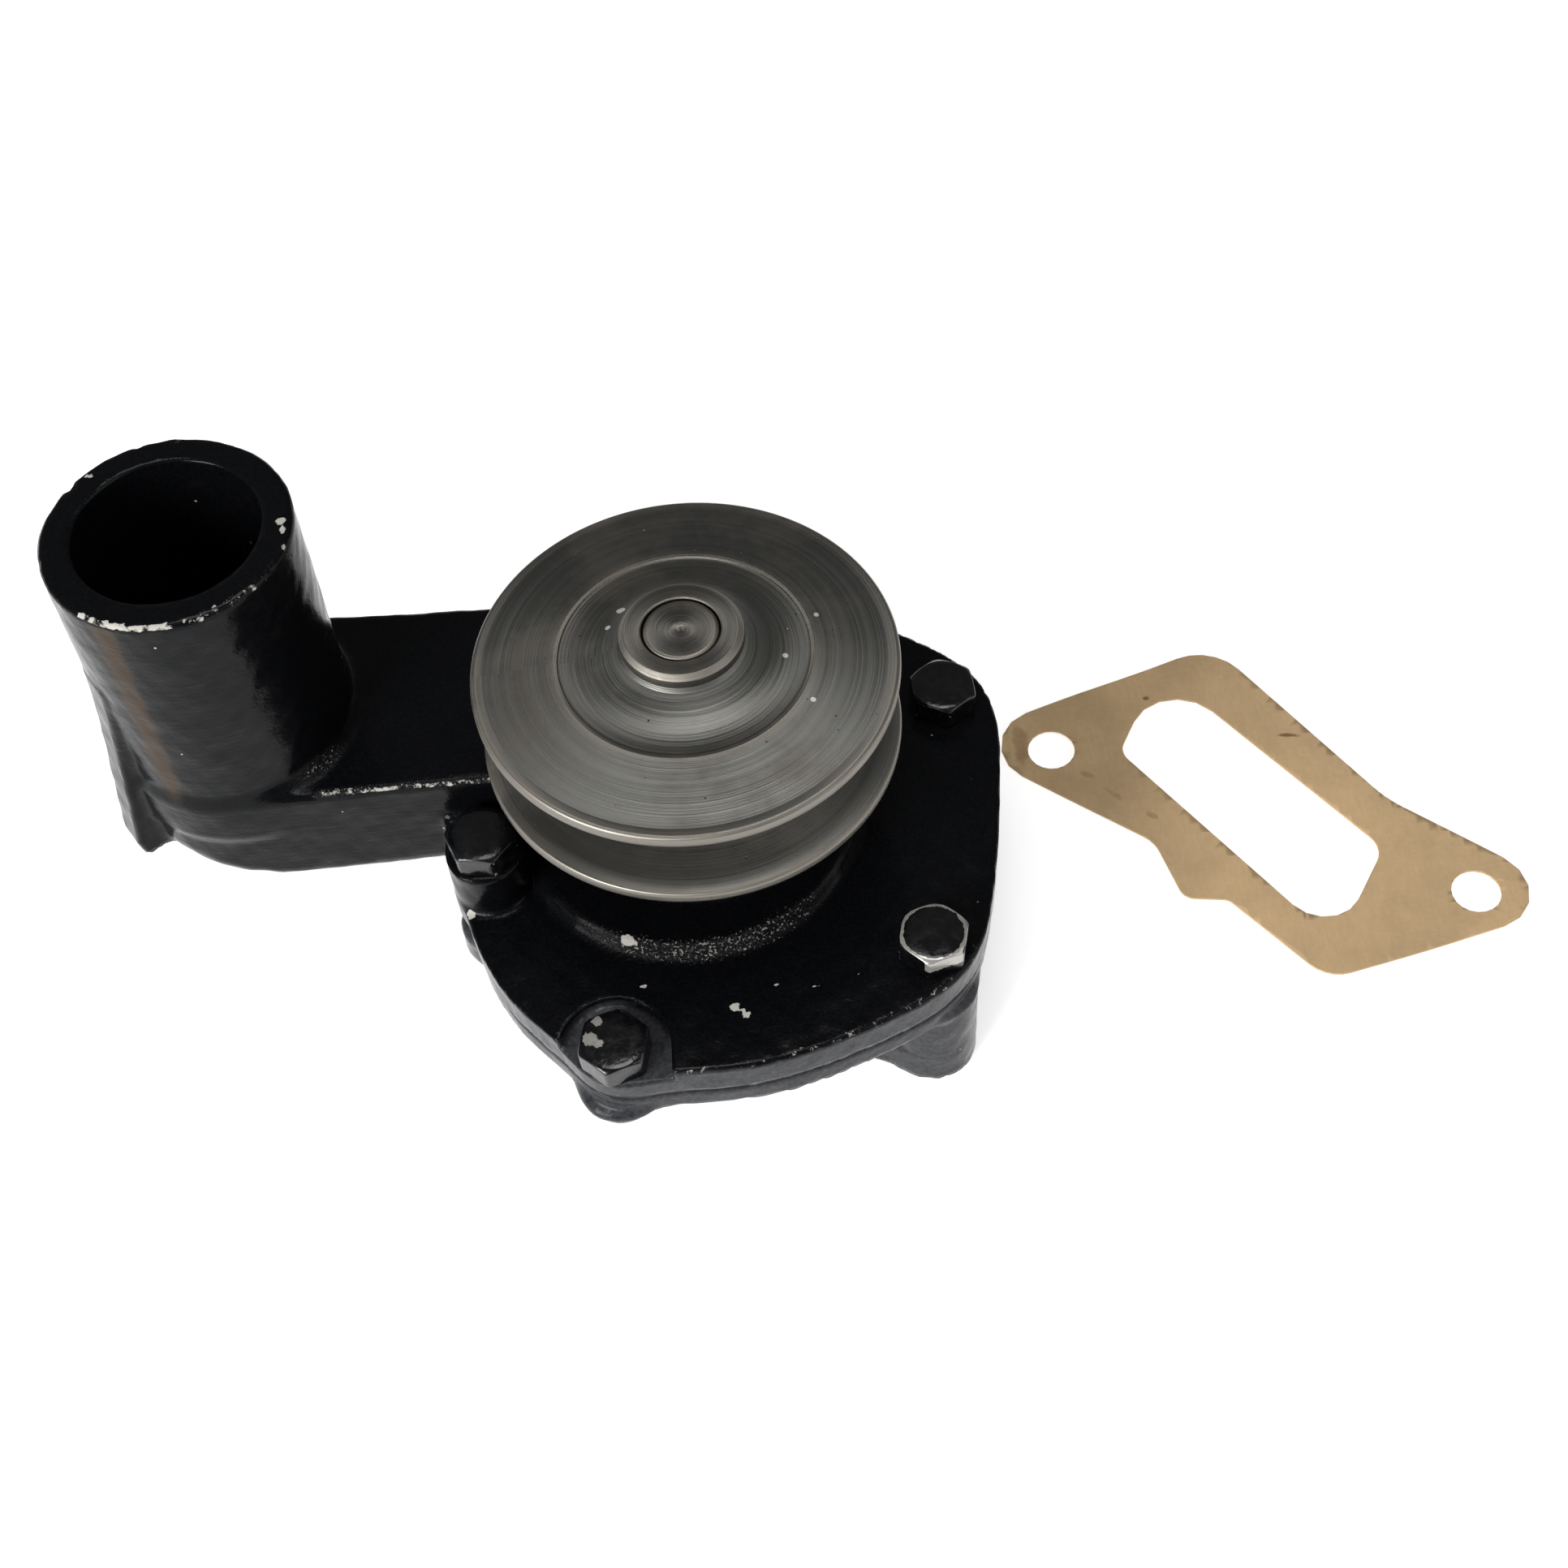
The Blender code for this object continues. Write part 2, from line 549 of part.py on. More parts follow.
def front_bores():
    """The bearing and seal bores, the weep hole, the screw hole, and the bolt holes with their seats."""
    bearing = SLEEVE_R + GAP
    seal = SEAL_CASE_R + GAP
    stepped = turned("nose_bores", [
        (0.0, NOSE_TOP_Z + 1.0 * MM), (bearing, NOSE_TOP_Z + 1.0 * MM), (bearing, BEARING_Z - GAP),
        (SHOULDER_R, BEARING_Z - GAP), (SHOULDER_R, SHOULDER_Z), (seal, SHOULDER_Z),
        (seal, NOSE_Z - 1.0 * MM), (0.0, NOSE_Z - 1.0 * MM)], cutter=True)
    weep_z = (SHOULDER_Z + BEARING_Z) / 2 + 1.0 * MM
    weep = radial_cutter("weep_hole", WEEP_R, 0.0, NOSE_R + 5.0 * MM, -90.0, weep_z)
    screw = radial_cutter("screw_hole", SCREW_R + GAP, SLEEVE_R - 1.0 * MM, NOSE_R + 5.0 * MM, SCREW_ANGLE, screw_z())
    cutters = [stepped, weep, screw]
    for letter in BOLTS:
        hole = disc(f"front_hole_{letter}", BOLT_R + GAP, PLATE_Z - 5.0 * MM, bolt_seat(letter) + 5.0 * MM,
                    steps=SMALL_STEPS, cutter=True, place=bolt_place(letter))
        cutters.append(hole)
    pocket_outline = placed(arm_outline(2 * POCKET_R, 0.0, 2 * POCKET_R, 0.0), bolt_place("a"), -90.0)
    pocket = flat("bolt_pocket", pocket_outline, PLATE_TOP_Z - POCKET_DEPTH, PLATE_TOP_Z + 2.0 * MM, cutter=True)
    return [*cutters, pocket]


def radial_cutter(name, radius, start, end, degrees, height):
    """A round cutter that points away from the shaft's axis."""
    obj = disc(name, radius, start, end, steps=SMALL_STEPS, cutter=True)
    obj.matrix_world = (Matrix.Translation((0.0, 0.0, height)) @ Matrix.Rotation(math.radians(degrees), 4, "Z")
                        @ Matrix.Rotation(math.radians(90.0), 4, "Y"))
    return obj


def screw_z():
    return (BEARING_Z + BEARING_TOP_Z) / 2 - 5.0 * MM


def make_rear_housing():
    """Volute casting: flange, bowl, outlet duct with its foot, stud pillars and bolt bosses."""
    body = flat("rear_housing", flange_outline(0.5 * MM), REAR_BODY_DEPTH, REAR_TOP_Z, "casting_paint",
                edge_round=0.8 * MM)
    overlap = REAR_BODY_DEPTH + 1.5 * MM
    middle, degrees = stud_line()
    foot = flat("foot", placed(outlet_outline(FOOT_INSET), middle, degrees), 0.0, FOOT_T, cutter=True)
    walls = placed(grown(outlet_slot(), OUTLET_WALL), middle, degrees)
    duct = flat("duct", walls, 0.3 * MM, overlap, cutter=True)
    bowl = turned("bowl", [(0.0, overlap), (BOWL_R, overlap), (BOWL_R, 2.0 * MM), (BOWL_R - 2.0 * MM, 0.0), (0.0, 0.0)],
                  cutter=True)
    bosses = []
    for letter, bolt in BOLTS.items():
        radius = PILLAR_R if bolt["boss_z"] == 0.0 else BOLT_BOSS_R
        bosses.append(disc(f"boss_{letter}", radius, bolt["boss_z"], overlap, cutter=True, steps=SMALL_STEPS,
                           place=bolt_place(letter)))
    join(body, foot, duct, bowl, *bosses)
    chamber = disc("chamber", CHAMBER_R, CHAMBER_FLOOR, REAR_TOP_Z + 1.0 * MM, cutter=True)
    slot = flat("slot", placed(outlet_slot(), middle, degrees), -1.0 * MM, OUTLET_ROOF_Z, cutter=True)
    holes = []
    for letter, bolt in BOLTS.items():
        low = bolt["boss_z"] - 1.0 * MM if bolt["boss_z"] > 0.0 else STUD_HOLE_DEPTH + 3.0 * MM
        holes.append(disc(f"rear_hole_{letter}", BOLT_R + GAP, low, REAR_TOP_Z + 1.0 * MM, cutter=True,
                          steps=SMALL_STEPS, place=bolt_place(letter)))
    for index, place in enumerate(stud_places()):
        holes.append(disc(f"stud_hole_{index + 1}", STUD_HOLE_R, -1.0 * MM, STUD_HOLE_DEPTH, cutter=True,
                          steps=SMALL_STEPS, place=tuple(place)))
    cut(body, chamber, slot, *holes)
    shade(body)
    return body


def circle(radius, place=(0.0, 0.0), steps=SMALL_STEPS):
    return [(place[0] + radius * math.cos(2 * math.pi * i / steps), place[1] + radius * math.sin(2 * math.pi * i / steps))
            for i in range(steps)]


def make_gaskets():
    """The gasket between the castings, and the loose outlet gasket on the ground plane."""
    holes = [circle(BOLT_R + GAP + 0.3 * MM, bolt_place(letter)) for letter in BOLTS]
    holes.append(circle(CHAMBER_R + 1.0 * MM, steps=ROUND_STEPS))
    flat("body_gasket", flange_outline(0.8 * MM), BODY_GASKET_Z, BODY_GASKET_Z + BODY_GASKET_T, "gasket_paper",
         holes=holes)
    half = STUD_SPACING / 2
    inner = [outlet_slot(), circle(GASKET_HOLE_R, (-half, 0.0)), circle(GASKET_HOLE_R, (half, 0.0))]
    inner = [placed(loop, GASKET_PLACE, GASKET_TURN) for loop in inner]
    flat("outlet_gasket", placed(outlet_outline(), GASKET_PLACE, GASKET_TURN), 0.0, OUTLET_GASKET_T, "gasket_paper",
         holes=inner)


# ---------------------------------------------------------------- fasteners

def bolt_seat(letter):
    """The height that a bolt's head sits on."""
    raised = {"a": -POCKET_DEPTH, "d": ARM_BOLT_BOSS_H}
    return PLATE_TOP_Z + raised.get(letter, 0.0) + GAP


def hex_head(name, flats, low, high, cutter=True):
    """A hexagonal head with a washer-faced chamfer on top."""
    radius = flats / math.sqrt(3.0)
    outline = [polar(radius, 60.0 * index) for index in range(6)]
    head = flat(name, outline, low, high, cutter=cutter)
    chamfer = turned(f"{name}_chamfer", [
        (0.0, high + 0.01 * MM), (flats / 2 - 0.2 * MM, high + 0.01 * MM), (radius + 0.5 * MM, high - 1.1 * MM),
        (radius + 0.5 * MM, low - 1.0 * MM), (0.0, low - 1.0 * MM)], cutter=True, steps=SMALL_STEPS)
    step = head.modifiers.new("Chamfer", "BOOLEAN")
    step.operation = "INTERSECT"
    step.object = chamfer
    return head, chamfer


def make_bolt(letter):
    """One cover bolt: a hexagon head on a plain shank with a chamfered tip."""
    seat = bolt_seat(letter)
    tip = REAR_TOP_Z - BOLT_THREAD_DEPTH
    shank = turned(f"cover_bolt_{letter}", [
        (0.0, seat + 2.0 * MM), (BOLT_R, seat + 2.0 * MM), (BOLT_R, tip + 0.8 * MM), (BOLT_R - 0.8 * MM, tip),
        (0.0, tip)], "bolt_paint", steps=SMALL_STEPS)
    head, chamfer = hex_head(f"head_{letter}", BOLT_FLATS, seat, seat + BOLT_HEAD_H)
    join(shank, head)
    x, y = bolt_place(letter)
    for piece in (shank, head, chamfer):
        piece.location.x = x
        piece.location.y = y
    shade(shank)


def make_locating_screw():
    """The slotted screw that pins the bearing's sleeve, with its lock nut."""
    length_end = NOSE_R + 9.0 * MM
    turn = (Matrix.Translation((0.0, 0.0, screw_z())) @ Matrix.Rotation(math.radians(SCREW_ANGLE), 4, "Z")
            @ Matrix.Rotation(math.radians(90.0), 4, "Y"))
    screw = turned("bearing_locating_screw", [
        (0.0, length_end), (SCREW_R, length_end), (SCREW_R, SLEEVE_R + GAP + 1.0 * MM),
        (SCREW_R - 1.0 * MM, SLEEVE_R + GAP), (0.0, SLEEVE_R + GAP)], "bolt_paint", steps=SMALL_STEPS)
    slot = flat("screw_slot", [(-4.0 * MM, -0.6 * MM), (4.0 * MM, -0.6 * MM), (4.0 * MM, 0.6 * MM), (-4.0 * MM, 0.6 * MM)],
                length_end - 1.5 * MM, length_end + 1.0 * MM, cutter=True)
    nut_low = NOSE_R + GAP
    outline = [polar(NUT_FLATS / math.sqrt(3.0), 60.0 * index) for index in range(6)]
    nut = flat("locating_screw_nut", outline, nut_low, nut_low + NUT_T, "bolt_paint",
               holes=[circle(SCREW_R + GAP, steps=12)])
    for piece in (screw, slot, nut):
        piece.matrix_world = turn @ piece.matrix_world
    cut(screw, slot)


# ---------------------------------------------------------------- rotor

def make_pulley():
    """A single V-groove pulley with a dished face, a stepped ring and a hub pressed on the shaft."""
    face = PULLEY_FACE_Z
    middle = (PULLEY_Z + face) / 2
    groove_r = GROOVE_FLOOR_R
    bottom_half = GROOVE_TOP / 2 - (PULLEY_R - groove_r) * math.tan(math.radians(GROOVE_HALF_ANGLE))
    dish_top = HUB_TOP_Z - HUB_WALL_SHOWN
    step_z = face + STEP_RISE
    dish = []
    for index in range(5):
        share = index / 4
        radius = HUB_R + 1.0 * MM + (STEP_R - HUB_R - 1.5 * MM) * share
        dish.append((radius, step_z - STEP_DROP + (dish_top - step_z + STEP_DROP) * (1 - share) ** 2.2))
    bore = SHAFT_R + GAP
    pulley = turned("pulley", [
        (HUB_R - HUB_CHAMFER, HUB_TOP_Z), (HUB_R, HUB_TOP_Z - HUB_CHAMFER), (HUB_R, dish_top + 1.0 * MM), *dish,
        (STEP_R, step_z), (PULLEY_R - 2.5 * MM, face), (PULLEY_R - RIM_ROUND, face), (PULLEY_R, face - RIM_ROUND),
        (PULLEY_R, middle + GROOVE_TOP / 2 + RIM_ROUND), (PULLEY_R - RIM_ROUND, middle + GROOVE_TOP / 2),
        (groove_r, middle + bottom_half), (groove_r, middle - bottom_half),
        (PULLEY_R - RIM_ROUND, middle - GROOVE_TOP / 2), (PULLEY_R, middle - GROOVE_TOP / 2 - RIM_ROUND),
        (PULLEY_R, PULLEY_Z + RIM_ROUND), (PULLEY_R - RIM_ROUND, PULLEY_Z), (PULLEY_CAVITY_R, PULLEY_Z),
        (PULLEY_CAVITY_R, HUB_Z), (bore, HUB_Z), (bore, HUB_TOP_Z)], "turned_steel")
    return pulley


def make_shaft():
    """The bearing's own shaft, flush with the pulley's hub and reaching through the impeller."""
    low = IMPELLER_Z - 1.0 * MM
    turned("pump_shaft", [
        (0.0, HUB_TOP_Z), (SHAFT_R - 0.8 * MM, HUB_TOP_Z), (SHAFT_R, HUB_TOP_Z - 0.8 * MM), (SHAFT_R, low + 0.8 * MM),
        (SHAFT_R - 0.8 * MM, low), (0.0, low)], "shaft_steel", steps=ROUND_STEPS)


def vane_outline(index):
    """A swept vane: a strip of even width whose angle lags as its radius grows."""
    start = IMPELLER_HUB_R - 0.6 * MM
    end = CHAMBER_R - IMPELLER_CLEARANCE - 0.5 * MM
    count = 7
    middle = []
    for step in range(count):
        share = step / (count - 1)
        angle = 360.0 * index / VANE_COUNT - VANE_SWEEP * share
        middle.append(Vector(polar(start + (end - start) * share, angle)))
    left = []
    right = []
    for step, point in enumerate(middle):
        along = (middle[min(step + 1, count - 1)] - middle[max(step - 1, 0)]).normalized()
        side = Vector((-along.y, along.x)) * VANE_T / 2
        left.append(tuple(point + side))
        right.append(tuple(point - side))
    return right + left[::-1]


def make_impeller():
    """Open impeller: a back plate with swept vanes that face the cover, and a hub counterbored for the seal seat."""
    rim = CHAMBER_R - IMPELLER_CLEARANCE
    plate_top = IMPELLER_Z + IMPELLER_PLATE_T
    seat_bore = CUP_R + GAP
    bore = SHAFT_R + GAP
    body = turned("impeller", [
        (IMPELLER_HUB_R, IMPELLER_TOP_Z), (IMPELLER_HUB_R, plate_top), (rim, plate_top), (rim, IMPELLER_Z),
        (bore, IMPELLER_Z), (bore, CUP_Z - GAP), (seat_bore, CUP_Z - GAP), (seat_bore, IMPELLER_TOP_Z)],
        "impeller_iron", steps=INNER_STEPS * 2)
    vanes = [flat(f"vane_{index + 1}", vane_outline(index), plate_top - 1.0 * MM, VANE_TOP_Z, cutter=True)
             for index in range(VANE_COUNT)]
    join(body, *vanes)
    shade(body)


# ---------------------------------------------------------------- bearing

def make_bearing():
    """Outer sleeve, two rows of balls in their cages, and an end seal on each side."""
    turned("bearing_sleeve", [
        (SLEEVE_R - 0.6 * MM, BEARING_TOP_Z), (SLEEVE_R, BEARING_TOP_Z - 0.6 * MM), (SLEEVE_R, BEARING_Z + 0.6 * MM),
        (SLEEVE_R - 0.6 * MM, BEARING_Z), (RACE_R, BEARING_Z), (RACE_R, BEARING_TOP_Z)], "bearing_steel",
        steps=INNER_STEPS)
    for row, level in ROW_LEVELS.items():
        make_ball_row(row, level)
    inner = SHAFT_R + GAP
    outer = RACE_R - GAP
    for row, low in (("front", BEARING_TOP_Z - 0.5 * MM - BEARING_SEAL_T), ("rear", BEARING_Z + 0.5 * MM)):
        high = low + BEARING_SEAL_T
        turned(f"bearing_seal_{row}", [(outer, high), (outer, low), (inner, low), (inner, high)], "seal_rubber",
               steps=INNER_STEPS)


def make_ball_row(row, level):
    """One cage with round windows, and the balls that sit in them."""
    half = CAGE_HALF_H
    outer = BALL_PITCH_R + CAGE_HALF_T
    inner = BALL_PITCH_R - CAGE_HALF_T
    cage = turned(f"{row}_ball_cage", [(outer, half), (outer, -half), (inner, -half), (inner, half)], "cage_nylon",
                  steps=INNER_STEPS)
    cage.location.z = level
    for index in range(BALL_COUNT):
        place = (*polar(BALL_PITCH_R, 360.0 * index / BALL_COUNT), 0.0)
        window = sphere(f"{row}_window_{index + 1}", BALL_R + GAP, place, level, cutter=True)
        cut(cage, window)
        sphere(f"{row}_ball_{index + 1}", BALL_R, place, level, "bearing_steel")


def sphere(name, radius, place, level, material=None, cutter=False):
    """A ball off to one side of its own origin, which stays on the shaft's axis."""
    mesh = bpy.data.meshes.new(name)
    work = bmesh.new()
    bmesh.ops.create_uvsphere(work, u_segments=10, v_segments=6, radius=radius, matrix=Matrix.Translation(place))
    work.to_mesh(mesh)
    work.free()
    obj = add_object(name, mesh, material, cutter)
    obj.location.z = level
    obj.data.shade_smooth()
    return obj


# ---------------------------------------------------------------- water seal

def make_seal():
    """Mechanical seal: a case in the nose with bellows, spring and carbon ring, and a ceramic seat on the impeller."""
    case_low = NOSE_Z + 0.8 * MM
    case_top = CASE_TOP_Z
    inner = SEAL_CASE_R - SEAL_CASE_T
    turned("seal_case", [
        (SEAL_CASE_R, case_top), (SEAL_CASE_R, case_low), (inner, case_low), (inner, case_top - SEAL_CASE_T),
        (SEAL_BORE_R, case_top - SEAL_CASE_T), (SEAL_BORE_R, case_top)], "seal_brass", steps=INNER_STEPS)
    carbon_top = CARBON_Z + CARBON_H
    turned("seal_carbon_ring", [
        (CARBON_R, carbon_top), (CARBON_R, CARBON_Z + 1.0 * MM), (CARBON_R - 2.0 * MM, CARBON_Z),
        (SEAL_BORE_R, CARBON_Z), (SEAL_BORE_R, carbon_top)], "seal_carbon", steps=INNER_STEPS)
    make_bellows(carbon_top + GAP, case_top - SEAL_CASE_T - GAP)
    make_spring(carbon_top + GAP, case_top - SEAL_CASE_T - GAP)
    turned("seal_ceramic_seat", [
        (SEAT_R, SEAT_TOP_Z), (SEAT_R, SEAT_Z), (SHAFT_R + 1.2 * MM, SEAT_Z), (SHAFT_R + 1.2 * MM, SEAT_TOP_Z)],
        "seal_ceramic", steps=INNER_STEPS)
    wall = SEAT_R + GAP
    turned("seal_seat_cup", [
        (CUP_R, IMPELLER_TOP_Z), (CUP_R, CUP_Z), (SHAFT_R + GAP, CUP_Z), (SHAFT_R + GAP, CUP_Z + CUP_T),
        (wall, CUP_Z + CUP_T), (wall, IMPELLER_TOP_Z)], "seal_rubber", steps=INNER_STEPS)
    slinger_z = (SHOULDER_Z + BEARING_Z) / 2 - SLINGER_T / 2
    turned("water_slinger", [
        (SLINGER_R, slinger_z + SLINGER_T), (SLINGER_R, slinger_z + SLINGER_T - 0.8 * MM),
        (SLINGER_R - 1.8 * MM, slinger_z), (SHAFT_R + GAP, slinger_z), (SHAFT_R + GAP, slinger_z + SLINGER_T)],
        "seal_rubber", steps=INNER_STEPS)


def make_bellows(low, high):
    """A thin rubber sleeve with two folds."""
    inner = SEAL_BORE_R + 0.2 * MM
    folds = 2
    count = 2 * folds
    levels = [high - (high - low) * step / count for step in range(count + 1)]
    swell = [0.9 * MM * (step % 2) for step in range(count + 1)]
    outer_side = [(inner + 0.8 * MM + bulge, level) for level, bulge in zip(levels, swell)]
    inner_side = [(inner + bulge, level) for level, bulge in zip(levels, swell)][::-1]
    turned("seal_bellows", outer_side + inner_side, "seal_rubber", steps=INNER_STEPS)


def make_spring(low, high):
    """A round-wire coil between the case and the carbon ring."""
    curve = bpy.data.curves.new("seal_spring", "CURVE")
    curve.dimensions = "3D"
    curve.bevel_depth = SPRING_WIRE_R
    curve.bevel_resolution = 2
    curve.use_fill_caps = True
    per_turn = 14
    count = SPRING_TURNS * per_turn + 1
    spline = curve.splines.new("POLY")
    spline.points.add(count - 1)
    travel = high - low - 2 * SPRING_WIRE_R - 2 * GAP
    for index, point in enumerate(spline.points):
        share = index / (count - 1)
        x, y = polar(SPRING_R, 360.0 * SPRING_TURNS * share)
        point.co = (x, y, low + SPRING_WIRE_R + GAP + travel * share, 1.0)
    spring = baked(add_object("seal_spring", curve))
    spring.data.materials.append(MATERIALS["spring_steel"])
    shade(spring)


def main():
    make_front_housing()
    make_rear_housing()
    make_gaskets()
    for letter in BOLTS:
        make_bolt(letter)
    make_locating_screw()
    make_pulley()
    make_shaft()
    make_impeller()
    make_bearing()
    make_seal()


main()
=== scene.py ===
"""Looks of a belt-driven coolant pump: gloss black castings, a bare turned pulley and a loose paper gasket.

Every shape is worked out with numpy. The castings are distance fields: for any point a field says how far it
is from the metal, so that two bodies melt into each other with a true fillet and a cut leaves a true round. The
turned pieces are profiles carried round an axis, and a hexagon head is one radius for each angle and height.
"""

import math

import bmesh
import bpy
import numpy as np
from bpy.props import FloatProperty, FloatVectorProperty, IntProperty, PointerProperty
from mathutils import Matrix, Vector


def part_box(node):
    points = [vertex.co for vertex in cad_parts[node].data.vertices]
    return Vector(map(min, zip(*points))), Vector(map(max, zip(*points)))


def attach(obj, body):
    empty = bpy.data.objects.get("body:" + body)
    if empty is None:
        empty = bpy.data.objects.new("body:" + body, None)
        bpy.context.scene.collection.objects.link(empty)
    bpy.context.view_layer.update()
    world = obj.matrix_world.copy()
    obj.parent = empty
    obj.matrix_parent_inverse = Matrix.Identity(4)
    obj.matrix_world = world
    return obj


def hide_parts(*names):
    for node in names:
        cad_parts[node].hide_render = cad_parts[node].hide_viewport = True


bl_info = {
    "name": "Coolant Pump Looks",
    "version": (1, 0, 0),
    "blender": (4, 5, 0),
    "location": "View3D > Sidebar > Pump",
    "description": "Builds the visible surfaces and finishes of a belt-driven coolant pump on its packed frame",
    "category": "Object",
}

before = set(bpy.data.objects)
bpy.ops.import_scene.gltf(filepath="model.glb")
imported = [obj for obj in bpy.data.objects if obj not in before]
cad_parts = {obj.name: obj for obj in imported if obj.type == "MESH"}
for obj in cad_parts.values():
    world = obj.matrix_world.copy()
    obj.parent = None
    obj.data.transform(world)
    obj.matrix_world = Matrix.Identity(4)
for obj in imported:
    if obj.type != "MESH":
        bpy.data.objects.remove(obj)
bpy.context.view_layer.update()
MM = 0.001
BOLTS = "abcdef"


def node_box(name):
    """Lowest and highest corner of a frame node, in millimetres."""
    low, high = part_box(name)
    return np.array(low) / MM, np.array(high) / MM


FRONT_BOX = node_box("front_housing")
REAR_BOX = node_box("rear_housing")
PULLEY_BOX = node_box("pulley")
SHAFT_BOX = node_box("pump_shaft")
GASKET_BOX = node_box("outlet_gasket")
BODY_GASKET_BOX = node_box("body_gasket")
BOLT_BOXES = {letter: node_box(f"cover_bolt_{letter}") for letter in BOLTS}


def bolt_place(letter):
    """Centre of a cover bolt in plan, in millimetres."""
    low, high = BOLT_BOXES[letter]
    return (low[:2] + high[:2]) / 2


# ---------------------------------------------------------------- sizes and colours a user may change

def length(name, default, description):
    """A length property whose default is given in millimetres."""
    return FloatProperty(name=name, description=description, default=default * MM, unit="LENGTH", precision=4)


def colour(name, default, description):
    return FloatVectorProperty(name=name, description=description, default=default, subtype="COLOR", size=3,
                               min=0.0, max=1.0)


class PumpCastingSizes(bpy.types.PropertyGroup):
    """Sizes of the two castings."""

    grid: length("Surface grid", 1.1, "Distance between points of the casting surfaces")
    plate: length("Plate thickness", 8.8, "Thickness of the front casting's flange")
    flange: length("Flange radius", 66.5, "Radius of both flanges between their bolt lobes")
    flat_side: length("Drawn-in side", 9.1, "How far the flange is drawn in towards the arm")
    pad: length("Pad radius", 38.4, "Radius of the low round pad under the pulley")
    pad_height: length("Pad height", 3.0, "Height of the pad above the flange")
    nose: length("Nose radius", 25.0, "Radius of the bearing housing")
    arm_near: length("Arm width at the nose", 50.0, "Width of the inlet arm beside the bearing housing")
    arm_far: length("Arm width at the spigot", 52.4, "Width of the inlet arm under the spigot")
    arm_y: length("Arm line", 20.3, "Distance of the arm's middle line from the shaft")
    arm_height: length("Arm height", 29.5, "Height of the arm")
    arm_drop: length("Arm drop", 4.5, "How far the arm's underside lies below the flange's top")
    elbow_round: length("Elbow round", 11.0, "Round of the elbow's lower outer edge")
    spigot: length("Spigot radius", 26.0, "Outer radius of the hose spigot")
    spigot_x: length("Spigot distance", -102.5, "Where the spigot's axis crosses the arm's line")
    wall: length("Wall", 5.0, "Wall of the water passages")
    spigot_wall: length("Spigot wall", 6.7, "Wall of the spigot")
    foot: length("Foot thickness", 9.0, "Thickness of the foot on the engine face")
    bowl: length("Bowl radius", 49.0, "Outer radius of the impeller's bowl")
    chamber: length("Chamber radius", 43.0, "Inner radius of the impeller's bowl")
    pillar: length("Pillar radius", 10.0, "Radius of the two pillars that reach the engine face")
    boss: length("Boss radius", 9.5, "Radius of the bosses under the other cover bolts")
    arm_boss: length("Arm boss radius", 8.6, "Radius of the tall boss beside the arm")
    pocket: length("Pocket radius", 12.0, "Radius of the sunk bolt seat that is open to the flange's edge")
    foot_inset: length("Foot inset", 4.0, "How far the foot stops short of its gasket's edge")
    fillet: length("Fillet", 2.6, "Fillet between the cast bodies")


class PumpPulleySizes(bpy.types.PropertyGroup):
    """Sizes of the pulley."""

    radius: length("Radius", 45.0, "Outer radius of both rims")
    width: length("Width", 23.35, "Width over both rims")
    groove_top: length("Groove width", 17.4, "Width of the belt groove at its mouth")
    groove_floor: length("Groove floor radius", 32.0, "Radius of the groove's floor")
    rim_round: length("Rim round", 1.0, "Round on the edges of the rims")
    hub: length("Hub radius", 13.0, "Radius of the hub")
    step: length("Step radius", 26.7, "Radius of the shallow step on the front")
    turns: IntProperty(name="Segments", description="Segments round the pulley", default=288, min=32, max=720)


class PumpBoltSizes(bpy.types.PropertyGroup):
    """Sizes of the cover bolts."""

    flats: length("Across flats", 14.3, "Width of the hexagon head")
    head: length("Head height", 6.2, "Height of the head")
    shank: length("Shank radius", 4.76, "Radius of the shank")
    turns: IntProperty(name="Segments", description="Segments round a bolt", default=96, min=24, max=240)


class PumpGasketSizes(bpy.types.PropertyGroup):
    """How the loose gasket lies."""

    cell: length("Cell", 2.5, "Distance between the points that carry its waves")
    lift: length("Wave", 0.5, "Height of the paper's waves above the ground")


class PumpColours(bpy.types.PropertyGroup):
    """Colours of the finishes."""

    paint: colour("Enamel", (0.0022, 0.0024, 0.0030), "Gloss enamel of the castings and bolts")
    paint_light: colour("Enamel grain", (0.0060, 0.0064, 0.0072), "The enamel on the casting's high grains")
    # The chip colour also paints glints and edge highlights on the castings and bolts.
    chip_and_glint: colour("Chips", (0.52, 0.50, 0.46), "Bare metal and primer where the enamel is chipped")
    # Besides dust, this grey paints the reflection of the pale ground on the walls below the flange.
    dust_and_sheen: colour("Dust", (0.050, 0.051, 0.056), "Thin grey dust on the flange's rim and below it")
    rust: colour("Rust tint", (0.035, 0.021, 0.011), "Brown tint where the enamel is thin")
    steel: colour("Turned steel", (0.175, 0.174, 0.160), "Bare turned steel of the pulley")
    steel_stain: colour("Steel stain", (0.095, 0.070, 0.050), "Light rust on the bare steel")
    paper: colour("Gasket paper", (0.56, 0.39, 0.215), "Gasket paper")
    paper_stain: colour("Paper stain", (0.16, 0.075, 0.03), "Oil and water stains on the paper")


class PumpStageSizes(bpy.types.PropertyGroup):
    """Camera and lights."""

    lens: FloatProperty(name="Lens", description="Focal length on a 36 mm sensor", default=52.87, min=10.0,
                        max=200.0)
    top: FloatProperty(name="Top light", description="Power of the soft light overhead", default=5.0, min=0.0,
                       unit="POWER")
    key: FloatProperty(name="Side light", description="Power of the soft light on the left", default=16.0,
                       min=0.0, unit="POWER")
    fill: FloatProperty(name="Fill light", description="Power of the soft light on the right", default=3.0,
                        min=0.0, unit="POWER")
    sky: FloatProperty(name="Room light", description="Strength of the even light of the room", default=0.14,
                       min=0.0)


